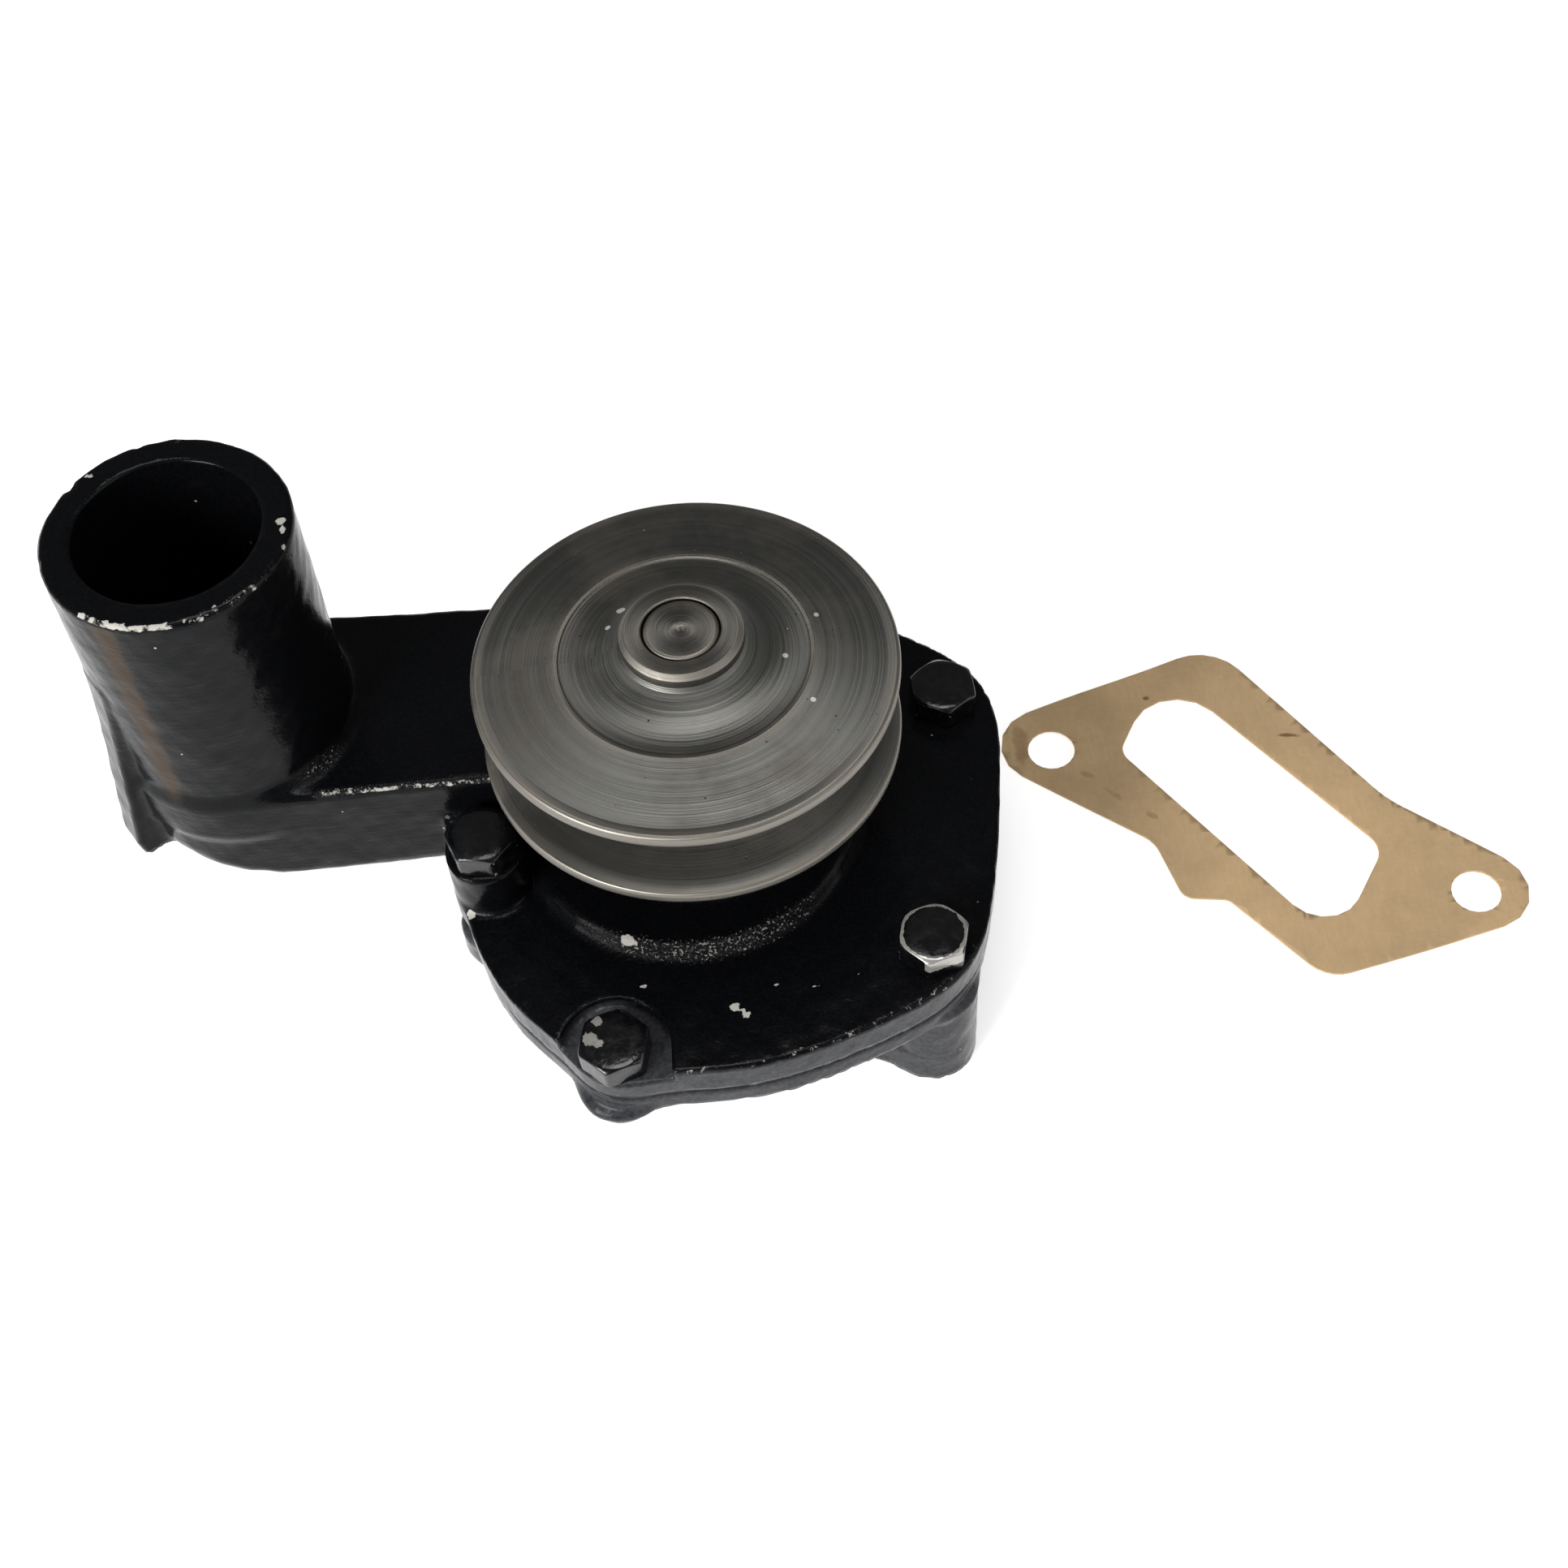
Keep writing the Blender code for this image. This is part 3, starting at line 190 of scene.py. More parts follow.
class PumpLooks(bpy.types.PropertyGroup):
    """All the sizes and colours of the pump's looks."""

    castings: PointerProperty(type=PumpCastingSizes, name="Castings", description="Sizes of the two castings")
    pulley: PointerProperty(type=PumpPulleySizes, name="Pulley", description="Sizes of the pulley")
    bolts: PointerProperty(type=PumpBoltSizes, name="Bolts", description="Sizes of the cover bolts")
    gasket: PointerProperty(type=PumpGasketSizes, name="Gasket", description="How the loose gasket lies")
    colours: PointerProperty(type=PumpColours, name="Colours", description="Colours of the finishes")
    stage: PointerProperty(type=PumpStageSizes, name="Stage", description="Camera and lights")


class Millimetres:
    """A property group read in millimetres."""

    def __init__(self, group):
        self.group = group

    def __getattr__(self, name):
        return getattr(self.group, name) / MM


# ---------------------------------------------------------------- meshes from arrays

def mesh_object(name, points, faces, sizes=None, normals=None):
    """A smooth mesh object at the origin. Points are in millimetres; faces is a flat list with face sizes."""
    faces = np.asarray(faces, np.int32)
    if sizes is None:
        sizes = np.full(len(faces), faces.shape[1], np.int32)
    corners = faces.ravel()
    mesh = bpy.data.meshes.new(name)
    mesh.vertices.add(len(points))
    mesh.vertices.foreach_set("co", (np.asarray(points) * MM).astype(np.float32).ravel())
    mesh.loops.add(len(corners))
    mesh.loops.foreach_set("vertex_index", corners)
    mesh.polygons.add(len(sizes))
    mesh.polygons.foreach_set("loop_start", np.concatenate(([0], np.cumsum(sizes)[:-1])).astype(np.int32))
    mesh.update(calc_edges=True)
    mesh.shade_smooth()
    if normals is not None:
        mesh.normals_split_custom_set_from_vertices(normals)
    obj = bpy.data.objects.new(name, mesh)
    bpy.context.scene.collection.objects.link(obj)
    return obj


def point_value(obj, name, values):
    """Stores one number for each point, for the finish to read."""
    layer = obj.data.attributes.new(name, "FLOAT", "POINT")
    layer.data.foreach_set("value", np.asarray(values, np.float32))


def point_places(obj):
    """The places of a mesh's points, in millimetres."""
    places = np.empty(len(obj.data.vertices) * 3, np.float32)
    obj.data.vertices.foreach_get("co", places)
    return places.reshape(-1, 3).astype(float) / MM


def rounded_path(corners, closed, steps=6):
    """A path through (a, b, round) corners. Each round is a circular arc that touches both its sides.

    Returns the path's points, and for each point 1 on a bulging arc and 0 elsewhere.
    """
    corners = np.asarray(corners, float)
    count = len(corners)
    points, bulge = [], []
    for index, (a, b, radius) in enumerate(corners):
        here = np.array((a, b))
        if radius <= 0.0 or (not closed and index in (0, count - 1)):
            points.append(here)
            bulge.append(0.0)
            continue
        before = corners[index - 1, :2] - here
        after = corners[(index + 1) % count, :2] - here
        reach_limit = 0.49 * min(np.linalg.norm(before), np.linalg.norm(after))
        before /= np.linalg.norm(before)
        after /= np.linalg.norm(after)
        half = math.acos(np.clip(before @ after, -1.0, 1.0)) / 2
        reach = min(radius / math.tan(half), reach_limit)
        radius = reach * math.tan(half)
        centre = here + (before + after) / np.linalg.norm(before + after) * (radius / math.sin(half))
        start = here + before * reach - centre
        end = here + after * reach - centre
        first = math.atan2(start[1], start[0])
        sweep = (math.atan2(end[1], end[0]) - first + math.pi) % (2 * math.pi) - math.pi
        turns = first + sweep * np.linspace(0.0, 1.0, steps + 1)
        points.extend(centre + radius * np.stack((np.cos(turns), np.sin(turns)), 1))
        bulge.extend([1.0 if sweep < 0.0 else 0.0] * (steps + 1))
    return np.array(points), np.array(bulge)


LONGEST_STEP = 2.5                  # farthest that two points of a turned profile stand apart


def refined(points, values, longest):
    """The same path with extra points wherever two neighbours are further apart than a limit."""
    out, marks = [points[0]], [values[0]]
    for index in range(1, len(points)):
        span = np.linalg.norm(points[index] - points[index - 1])
        parts = max(1, math.ceil(span / longest))
        shares = np.arange(1, parts + 1)[:, None] / parts
        out.extend(points[index - 1] + (points[index] - points[index - 1]) * shares)
        between = 0.0 if parts > 1 else values[index]
        marks.extend([between] * (parts - 1) + [values[index]])
    return np.array(out), np.array(marks)


def turned(name, corners, turns):
    """A turned solid: point (r, h) of a profile goes to (r cos t, r sin t, h) for every angle t.

    The profile runs down the outside and back up the bore, or from the axis to the axis, where each end is one
    pole point. U of its UV map goes round the axis and V along the profile.
    """
    closed = min(corner[0] for corner in corners) > 0.0
    path, bulge = rounded_path(corners, closed)
    if closed:
        path, bulge = np.vstack((path, path[:1])), np.append(bulge, bulge[0])
    path, bulge = refined(path, bulge, LONGEST_STEP)
    angle = 2 * np.pi * np.arange(turns) / turns
    rows = path[:-1] if closed else path[1:-1]
    marks = np.repeat(bulge[:-1] if closed else bulge[1:-1], turns)
    radius = rows[:, :1]
    ring = np.stack((radius * np.cos(angle), radius * np.sin(angle), np.repeat(rows[:, 1:], turns, 1)), 2)
    points = ring.reshape(-1, 3)
    count = len(rows)
    faces, row, here = ring_faces(count, turns, closed)
    sizes = np.full(len(faces) // 4, 4, np.int32)
    travel = np.concatenate(([0.0], np.cumsum(np.linalg.norm(np.diff(path, axis=0), axis=1))))
    u0, u1 = np.broadcast_arrays(here / turns, (here + 1) / turns)
    if closed:
        v0, v1 = travel[row], travel[row + 1]
    else:
        v0, v1 = travel[row + 1], travel[row + 2]
    v0, v1 = np.broadcast_to(v0, (len(row), turns)), np.broadcast_to(v1, (len(row), turns))
    shape = (len(row), turns)
    u0, u1 = np.broadcast_to(u0, shape), np.broadcast_to(u1, shape)
    chart = np.stack((np.stack((u0, u0, u1, u1), 2), np.stack((v0, v1, v1, v0), 2)), 3).reshape(-1, 2)
    if not closed:
        poles = np.array([[0.0, 0.0, path[0, 1]], [0.0, 0.0, path[-1, 1]]])
        points = np.vstack((points, poles))
        marks = np.append(marks, (0.0, 0.0))
        faces = np.concatenate((faces, pole_faces(count, turns)))
        sizes = np.concatenate((sizes, np.full(2 * turns, 3, np.int32)))
        around = np.arange(turns)
        share, next_share, zero = around / turns, (around + 1) / turns, np.zeros(turns)
        inner = np.full(turns, travel[1])
        outer = np.full(turns, travel[-2])
        ends = np.full(turns, travel[-1])
        chart_top = np.stack((np.stack((share, share, next_share), 1), np.stack((zero, inner, inner), 1)), 2)
        chart_bottom = np.stack((np.stack((share, next_share, share), 1), np.stack((ends, outer, outer), 1)), 2)
        chart = np.vstack((chart, chart_top.reshape(-1, 2), chart_bottom.reshape(-1, 2)))
    obj = mesh_object(name, points, faces, sizes)
    layer = obj.data.uv_layers.new(name="turned")
    layer.data.foreach_set("uv", (chart * (1.0, MM)).astype(np.float32).ravel())
    point_value(obj, "edge", marks)
    obj.data.set_sharp_from_angle(angle=math.radians(50.0))
    return obj


def ring_faces(count, turns, closed):
    """Four-sided faces between neighbouring rings of points; a closed stack joins its last ring to its first."""
    row = np.arange(count if closed else count - 1)[:, None]
    here = np.arange(turns)[None]
    after = (here + 1) % turns
    below = (row + 1) % count
    quads = np.stack((row * turns + here, below * turns + here, below * turns + after, row * turns + after), 2)
    return quads.reshape(-1), row, here


def pole_faces(count, turns):
    """Three-sided faces from the first and the last ring of a stack to the two pole points that follow it."""
    around = np.arange(turns)
    onward = (around + 1) % turns
    top, bottom, last = count * turns, count * turns + 1, (count - 1) * turns
    cap_top = np.stack((np.full(turns, top), around, onward), 1)
    cap_bottom = np.stack((np.full(turns, bottom), last + onward, last + around), 1)
    return np.concatenate((cap_top.ravel(), cap_bottom.ravel()))


# ---------------------------------------------------------------- distance fields

def joined(first, second, fillet):
    """Union with a fillet: inside the fillet's corner the distance is measured from a circle of its radius."""
    corner = np.hypot(np.maximum(fillet - first, 0.0), np.maximum(fillet - second, 0.0))
    return np.maximum(fillet, np.minimum(first, second)) - corner


def meet(first, second, edge):
    """Intersection with a rounded edge: outside the edge's corner the distance is measured from a circle."""
    corner = np.hypot(np.maximum(edge + first, 0.0), np.maximum(edge + second, 0.0))
    return np.minimum(-edge, np.maximum(first, second)) + corner


def carved(body, hole, edge):
    """Difference with a rounded edge: the body met with everything outside the hole."""
    return meet(body, -hole, edge)


def upright(x, y, place, radius):
    """Distance from a round bar that stands on a place in plan."""
    return np.hypot(x - place[0], y - place[1]) - radius


def between(z, low, high):
    """Distance from a level slab."""
    return np.abs(z - (low + high) / 2) - (high - low) / 2


def outline_distance(x, y, outline):
    """Signed distance from a closed outline: its nearest straight piece, with the sign from crossings."""
    nearest = np.full(np.broadcast(x, y).shape, 1e12)
    inside = np.zeros(nearest.shape, bool)
    for start, end in zip(outline, np.roll(outline, -1, 0)):
        along = end - start
        from_x, from_y = x - start[0], y - start[1]
        share = np.clip((from_x * along[0] + from_y * along[1]) / (along @ along), 0.0, 1.0)
        nearest = np.minimum(nearest, (from_x - share * along[0]) ** 2 + (from_y - share * along[1]) ** 2)
        if abs(along[1]) > 1e-12:
            spans = (start[1] > y) != (end[1] > y)
            inside ^= spans & (x < start[0] + along[0] * (y - start[1]) / along[1])
    return np.where(inside, -1.0, 1.0) * np.sqrt(nearest)


SWELLS = np.array([
    (0.43, 0.31, 0.22, 0.3), (-0.35, 0.52, 0.18, 1.9), (0.25, -0.28, 0.61, 4.1), (0.83, 0.21, -0.42, 2.2),
    (-0.30, 0.92, 0.55, 5.0), (0.55, 0.48, -0.95, 0.9), (1.25, -0.85, 0.65, 3.3), (-0.95, -1.10, 0.80, 1.1)])


def cast_swell(x, y, z):
    """The unevenness of a sand mould: eight slow waves in different directions, the short ones weaker."""
    total = 0.0
    for wave_x, wave_y, wave_z, phase in SWELLS:
        weight = 1.0 + 2.0 * math.hypot(wave_x, wave_y)
        total = total + np.sin(wave_x * x + wave_y * y + wave_z * z + phase) / weight
    return total


def slope(field, points, reach):
    """Unit gradient of a field at points, from four samples at the corners of a small tetrahedron."""
    corners = np.array([(1, -1, -1), (-1, -1, 1), (-1, 1, -1), (1, 1, 1)], float)
    total = 0.0
    for corner in corners:
        sample = points + corner * reach
        total = total + corner * field(sample[:, 0], sample[:, 1], sample[:, 2])[:, None]
    return total / np.maximum(np.linalg.norm(total, axis=1, keepdims=True), 1e-12)


def skin(name, field, low, high, grid):
    """The surface where a distance field is zero, as quads: dual contouring.

    The field is sampled on a grid. Each grid edge that it changes sign on gives one quad between the four cells
    around that edge. A cell's point is where the tangent planes at its crossings come nearest to meeting, by
    least squares, so flat faces stay flat and edges stay crisp.
    """
    low = np.asarray(low, float) - 2.1 * grid
    high = np.asarray(high, float) + 2.1 * grid
    counts = np.ceil((high - low) / grid).astype(int) + 1
    axes = [low[axis] + grid * np.arange(counts[axis]) for axis in range(3)]
    samples = field(axes[0][:, None, None], axes[1][None, :, None], axes[2][None, None, :])
    values = np.broadcast_to(samples, counts)
    strides = np.array((counts[1] * counts[2], counts[2], 1))
    crossings, cells = [], []
    for axis in range(3):
        first = [slice(None)] * 3
        second = [slice(None)] * 3
        first[axis], second[axis] = slice(0, -1), slice(1, None)
        one, two = values[tuple(first)], values[tuple(second)]
        where = np.argwhere((one < 0.0) != (two < 0.0))
        index = tuple(where.T)
        from_value, to_value = one[index], two[index]
        point = low + grid * where
        point[:, axis] += grid * from_value / (from_value - to_value)
        crossings.append(point)
        base = where @ strides
        left, right = strides[(axis + 1) % 3], strides[(axis + 2) % 3]
        quad = np.stack((base - left - right, base - right, base, base - left), 1)
        inward = from_value >= 0.0
        quad[inward] = quad[inward][:, ::-1]
        cells.append(quad)
    crossings, cells = np.vstack(crossings), np.vstack(cells)
    normals = slope(field, crossings, 0.08)
    used, quads = np.unique(cells, return_inverse=True)
    quads = quads.reshape(-1, 4)
    owner = quads.ravel()
    spread = np.repeat(np.arange(len(crossings)), 4)

    def gathered(numbers):
        return np.bincount(owner, numbers[spread], len(used))

    shares = gathered(np.ones(len(crossings)))
    middle = np.stack([gathered(crossings[:, axis]) / shares for axis in range(3)], 1)
    planes = np.einsum("ij,ij->i", normals, crossings)
    left_side = np.empty((len(used), 3, 3))
    right_side = np.empty((len(used), 3))
    for row in range(3):
        right_side[:, row] = gathered(normals[:, row] * planes)
        for column in range(3):
            left_side[:, row, column] = gathered(normals[:, row] * normals[:, column])
    right_side -= np.einsum("ijk,ik->ij", left_side, middle)
    left_side += 0.12 * np.eye(3)
    points = middle + np.linalg.solve(left_side, right_side[..., None])[..., 0]
    corner = low + grid * np.stack(np.unravel_index(used, counts), 1)
    points = np.clip(points, corner - 0.02 * grid, corner + 1.02 * grid)
    facing = slope(field, points, 0.25)
    obj = mesh_object(name, points, quads, normals=facing)
    reach = 1.3
    around = 0.0
    for step in np.vstack((np.eye(3), -np.eye(3))) * reach:
        sample = points + step
        around = around + field(sample[:, 0], sample[:, 1], sample[:, 2])
    here = field(points[:, 0], points[:, 1], points[:, 2])
    bend = (around - 6.0 * here) / reach
    point_value(obj, "edge", np.clip(bend, 0.0, 3.0) / 3.0)
    point_value(obj, "hollow", np.clip(-bend, 0.0, 3.0) / 3.0)
    return obj


# ---------------------------------------------------------------- castings

GASKET_GAP = 0.3                    # from the body gasket's top to the flange
# Height and spread in degrees of the flange's lobes
LOBES = {"a": (4.6, 9.0), "b": (5.2, 17.0), "c": (6.9, 18.0), "e": (5.0, 13.0), "f": (5.0, 12.0)}
PAD_PLACE = (-3.3, 0.9)
FLAT_SIDE_ANGLE = 190.0
FLAT_SIDE_SPREAD = 37.0
SCREW_ANGLE = -60.0                 # where the locating screw stands round the nose
SCREW_LEVEL = 60.5
STUD_HALF = 54.0                    # half the distance between the two studs
BOLT_HOLE_R = 5.06
NUT_FLATS, NUT_HEIGHT, NUT_HOLE_R, NUT_SEAT, NUT_TURNS = 10.0, 4.0, 3.3, 25.3, 72


def flange_radius(angle, s, inset):
    """Radius of the flange for an angle in degrees: a circle, less one wide bell, plus a bell for each lobe."""

    def bell(centre, spread):
        offset = (angle - centre + 180.0) % 360.0 - 180.0
        return np.exp(-((offset / spread) ** 2))

    radius = s.flange - inset - s.flat_side * bell(FLAT_SIDE_ANGLE, FLAT_SIDE_SPREAD)
    for letter, (height, spread) in LOBES.items():
        place = bolt_place(letter)
        radius = radius + height * bell(math.degrees(math.atan2(place[1], place[0])), spread)
    return radius


def flange_distance(x, y, s, inset=0.0):
    """Distance from the flange's outline: the radial gap, scaled by the outline's own slant."""
    angle = np.degrees(np.arctan2(y, x))
    radius = flange_radius(angle, s, inset)
    slant = (flange_radius(angle + 0.5, s, inset) - radius) / (math.radians(0.5) * radius)
    return (np.hypot(x, y) - radius) / np.sqrt(1.0 + slant ** 2)


def arm_side(x, y, s, wall=0.0):
    """Distance from the arm in plan: a channel with round ends that widens slowly towards the spigot."""
    share = np.clip((-x - 50.0) / 45.0, 0.0, 1.0)
    width = s.arm_near + (s.arm_far - s.arm_near) * share ** 2 * (3.0 - 2.0 * share)
    return np.hypot(x - np.clip(x, s.spigot_x, 0.0), y - s.arm_y) - width / 2 + wall


def spoke(x, y, z, degrees, level, radius, start):
    """Distance from a round bar that points away from the shaft at a level."""
    turn = math.radians(degrees)
    out = x * math.cos(turn) + y * math.sin(turn)
    side = -x * math.sin(turn) + y * math.cos(turn)
    return np.maximum(np.hypot(side, z - level) - radius, start - out)


def front_field(s):
    """The front casting: flange, pad, arm, spigot, lug and nose, less the water ways, bores and bolt holes."""
    low, high = FRONT_BOX
    plate_low = BODY_GASKET_BOX[1][2] + GASKET_GAP
    plate_top = plate_low + s.plate
    arm_low = plate_top - s.arm_drop
    arm_top = arm_low + s.arm_height
    mouth = high[2]
    spigot_place = (s.spigot_x, s.arm_y)
    nose_low, nose_top = plate_low + 1.0, 84.0
    shoulder, bearing = nose_low + 10.3, nose_low + 14.3
    lug_turn = math.radians(213.0)
    boss_top = BOLT_BOXES["d"][1][2] - 6.5

    def field(x, y, z):
        swell = 0.055 * cast_swell(x, y, z)
        body = meet(flange_distance(x, y, s), between(z, plate_low, plate_top), 1.1)
        rho = np.hypot(x, y)
        pad = meet(upright(x, y, PAD_PLACE, s.pad), between(z, plate_low + 2.0, plate_top + s.pad_height), 1.8)
        body = joined(body, pad, 2.4)
        boss_x, boss_y = bolt_place("d")
        boss = np.hypot(x - boss_x, y - np.clip(y, boss_y, boss_y + 9.0)) - s.arm_boss
        boss = meet(boss, between(z, plate_low + 2.0, boss_top), 0.6)
        body = joined(body, boss, 1.6)
        side = arm_side(x, y, s)
        under = np.clip((-x - 96.0) / 20.0, 0.0, 1.0)
        arm = meet(side, arm_low - z, 3.2 + (s.elbow_round - 3.2) * under)
        arm = meet(arm, z - arm_top, 2.2)
        body = joined(body, arm, s.fillet)
        tube = upright(x, y, spigot_place, s.spigot)
        spigot = meet(tube, between(z, arm_top - 12.0, mouth), 1.3)
        body = joined(body, spigot, 3.6)
        out = (x - s.spigot_x) * math.cos(lug_turn) + (y - s.arm_y) * math.sin(lug_turn)
        across = -(x - s.spigot_x) * math.sin(lug_turn) + (y - s.arm_y) * math.cos(lug_turn)
        reach = np.interp(z, (arm_low + 5.5, arm_low + 9.5, arm_low + 33.5, arm_low + 59.5),
                          (s.spigot + 5.6, s.spigot + 6.3, s.spigot + 3.0, s.spigot - 0.5))
        lug = meet(meet(np.abs(across) - 4.5, out - reach, 1.6), arm_low + 5.5 - z, 0.9)
        lug = np.maximum(lug, 21.0 - out)
        lug = np.maximum(lug, z - arm_low - 59.5)
        body = joined(body, lug, 1.6)
        body = body + swell
        way = meet(arm_side(x, y, s, s.wall), between(z, arm_low + s.wall, arm_top - s.wall), 3.0)
        bore = meet(tube + s.spigot_wall, arm_top - 10.0 - z, 0.5)
        way = joined(way, bore, 2.0)
        way = np.minimum(way, np.maximum(rho - 34.0, between(z, plate_low - 3.0, plate_low + 7.3)))
        port = upright(x, y, (0.0, 14.0), 19.0)
        way = np.minimum(way, np.maximum(port, between(z, plate_low + 6.0, arm_low + 8.0)))
        body = carved(body, way, 0.9)
        nose = meet(rho - s.nose, between(z, nose_low, nose_top), 1.2) + swell
        body = joined(body, nose, 2.4)
        land = spoke(x, y, z, SCREW_ANGLE, SCREW_LEVEL, 6.4, 15.0)
        land = meet(land, x * 0.5 - y * math.sqrt(0.75) - 25.15, 0.4)
        body = joined(body, land, 1.2)
        bores = np.minimum(np.maximum(rho - 19.35, bearing - z), rho - 13.0)
        bores = np.minimum(bores, np.maximum(rho - 18.55, z - shoulder))
        body = carved(body, bores, 0.5)
        body = carved(body, spoke(x, y, z, -90.0, (shoulder + bearing) / 2 + 1.0, 2.0, 0.0), 0.5)
        body = carved(body, spoke(x, y, z, SCREW_ANGLE, SCREW_LEVEL, NUT_HOLE_R, 18.0), 0.3)
        for letter in BOLTS:
            body = carved(body, upright(x, y, bolt_place(letter), BOLT_HOLE_R), 0.4)
        sunk_x, sunk_y = bolt_place("a")
        pocket = np.hypot(x - sunk_x, y - np.clip(y, sunk_y - 30.0, sunk_y)) - s.pocket
        body = carved(body, np.maximum(pocket, plate_top - 3.0 - z), 0.6)
        for turn, size in ((108.0, 1.5), (147.0, 1.9), (193.0, 1.2), (232.0, 0.8), (284.0, 0.7), (330.0, 0.9)):
            nick_x = s.spigot_x + (s.spigot + 0.6) * math.cos(math.radians(turn))
            nick_y = s.arm_y + (s.spigot + 0.6) * math.sin(math.radians(turn))
            nick = np.sqrt((x - nick_x) ** 2 + (y - nick_y) ** 2 + (z - mouth) ** 2) - size
            body = carved(body, nick, 0.5)
        return body

    return field


# Knocks in the enamel: place and reach, in millimetres
CHIPS = (
    (-18.3, -34.3, 43.6, 2.0), (-16.6, -35.0, 43.4, 1.2), (27.8, -30.1, 43.6, 1.6), (4.3, -51.4, 41.0, 1.5),
    (6.8, -53.6, 41.0, 1.3), (5.6, -52.4, 41.0, 1.0), (-15.2, -44.8, 41.0, 1.1), (-52.7, -22.8, 41.0, 1.6),
    (22.0, -48.0, 41.0, 0.9), (31.0, -45.5, 41.0, 0.8), (13.5, -47.0, 41.0, 0.8), (-24.9, -54.4, 44.4, 1.6),
    (-26.6, -58.6, 44.4, 2.1), (-24.6, -59.9, 44.4, 1.3), (-79.0, 20.1, 126.0, 1.5), (-78.4, 17.6, 126.0, 1.2),
    (-119.7, 37.1, 126.0, 1.2), (-102.2, 45.0, 126.0, 1.0), (-77.5, 13.0, 126.0, 1.2), (-128.6, 3.4, 66.0, 1.8),
    (-129.3, 2.9, 62.0, 1.5), (-128.9, 3.0, 58.0, 1.2))


def knocked(points):
    """How knocked each point is: the strongest of the knocks, each fading over its own reach."""
    worn = np.zeros(len(points))
    for x, y, z, reach in CHIPS:
        far = np.linalg.norm(points - (x, y, z), axis=1)
        worn = np.maximum(worn, np.clip(1.35 - far / reach, 0.0, 1.0))
    return worn


def tops(s):
    """Levels of the flange's top and of the arm's top."""
    plate_top = BODY_GASKET_BOX[1][2] + GASKET_GAP + s.plate
    return plate_top, plate_top - s.arm_drop + s.arm_height


def wear_and_edge_glints(points, s):
    """How worn each point is: its knocks, and painted edge highlights in the chip colour along the front parts
    of the edges of the spigot's mouth, arm and flange.
    """
    worn = knocked(points)
    x, y, z = points.T
    mouth = FRONT_BOX[1][2]
    lip = np.hypot(np.hypot(x - s.spigot_x, y - s.arm_y) - s.spigot + 0.4, z - mouth + 0.4)
    lip_turn = np.degrees(np.arctan2(y - s.arm_y, x - s.spigot_x))
    # Painted highlight: a bright arc and a fainter one along the front of the spigot's outer lip.
    bright = (lip < 0.75) & (lip_turn > -128.0) & (lip_turn < -84.0)
    faint = (lip < 1.6) & (lip_turn > -84.0) & (lip_turn < -30.0)
    worn = np.maximum(worn, np.where(bright, 0.64, 0.0))
    worn = np.maximum(worn, np.where(faint, 0.50, 0.0))
    plate_top, arm_top = tops(s)
    # Painted highlight along the arm's near top edge.
    on_arm = np.hypot(y - s.arm_y + s.arm_near / 2 - 0.4, z - arm_top + 0.4) < 1.1
    worn = np.maximum(worn, np.where(on_arm & (x > -82.0) & (x < -35.0), 0.55, 0.0))
    # Painted highlight along the front of the flange's top edge.
    turn = np.degrees(np.arctan2(y, x))
    rim = np.abs(np.hypot(x, y) - flange_radius(turn, s, 0.0)) < 1.8
    on_rim = rim & (np.abs(z - plate_top) < 1.3) & (turn > -105.0) & (turn < -35.0)
    return np.maximum(worn, np.where(on_rim, 0.46, 0.0))


def grit(points, s):
    """How coarse the sand skin is, and where pale glints are painted on it: along the pad's foot, the arm's near
    edge and the spigot's foot.
    """
    x, y, z = points.T
    plate_top, arm_top = tops(s)
    turn = np.degrees(np.arctan2(y, x))
    foot = np.exp(-((upright(x, y, PAD_PLACE, s.pad) / 2.2) ** 2))
    foot = foot * (z > plate_top - 1.0) * (z < plate_top + 5.0)
    foot = foot * np.exp(-(((turn + 88.0) / 42.0) ** 4))
    edge = np.exp(-((np.hypot(y - s.arm_y + s.arm_near / 2, z - arm_top) / 1.1) ** 2))
    edge = edge * (x > -84.0) * (x < -35.0)
    tube = np.hypot(x - s.spigot_x, y - s.arm_y) - s.spigot
    side = np.degrees(np.arctan2(y - s.arm_y, x - s.spigot_x))
    root = np.exp(-((np.hypot(tube - 1.5, z - arm_top - 1.5) / 1.8) ** 2))
    root = root * np.exp(-(((side + 42.0) / 14.0) ** 2))
    return np.maximum(np.maximum(foot, edge), root)


def age(points, s):
    """How brown each point is: a band down the spigot's front, all of its bore, and nothing elsewhere."""
    x, y, z = points.T
    far = np.hypot(x - s.spigot_x, y - s.arm_y)
    turn = np.degrees(np.arctan2(y - s.arm_y, x - s.spigot_x))
    on_tube = (np.abs(far - s.spigot) < 1.5) & (z > 62.0) & (z < 124.0)
    band = np.exp(-(((turn + 115.0) / 6.5) ** 2)) * np.clip((z - 62.0) / 10.0, 0.0, 1.0)
    in_bore = (far < s.spigot - s.spigot_wall + 1.5) & (z > 45.0) & (z < 124.5)
    return np.where(on_tube, band, 0.0) + np.where(in_bore, 0.15, 0.0)


def dust_and_sheen(points, s):
    """How dusty and how lit each point is: the outside below the flange's top edge, away from the spigot. The
    grey is partly dust and partly a painted reflection of the pale ground on these walls.
    """
    x, y, z = points.T
    plate_top = tops(s)[0]
    below = np.clip(plate_top - 0.5 - z, 0.0, 1.0)
    return np.where(np.hypot(x, y) > s.chamber + 1.0, below, 0.0) * (x > -75.0)


def ripple(points, s):
    """Where the sand left level ripples: the outer walls of the spigot and the arm."""
    x, y, z = points.T
    wall = np.abs(np.hypot(x - np.clip(x, s.spigot_x, 0.0), y - s.arm_y) - s.spigot) < 1.6
    return np.where(wall & (z < FRONT_BOX[1][2] - 1.0) & (x < -25.0), 1.0, 0.0)


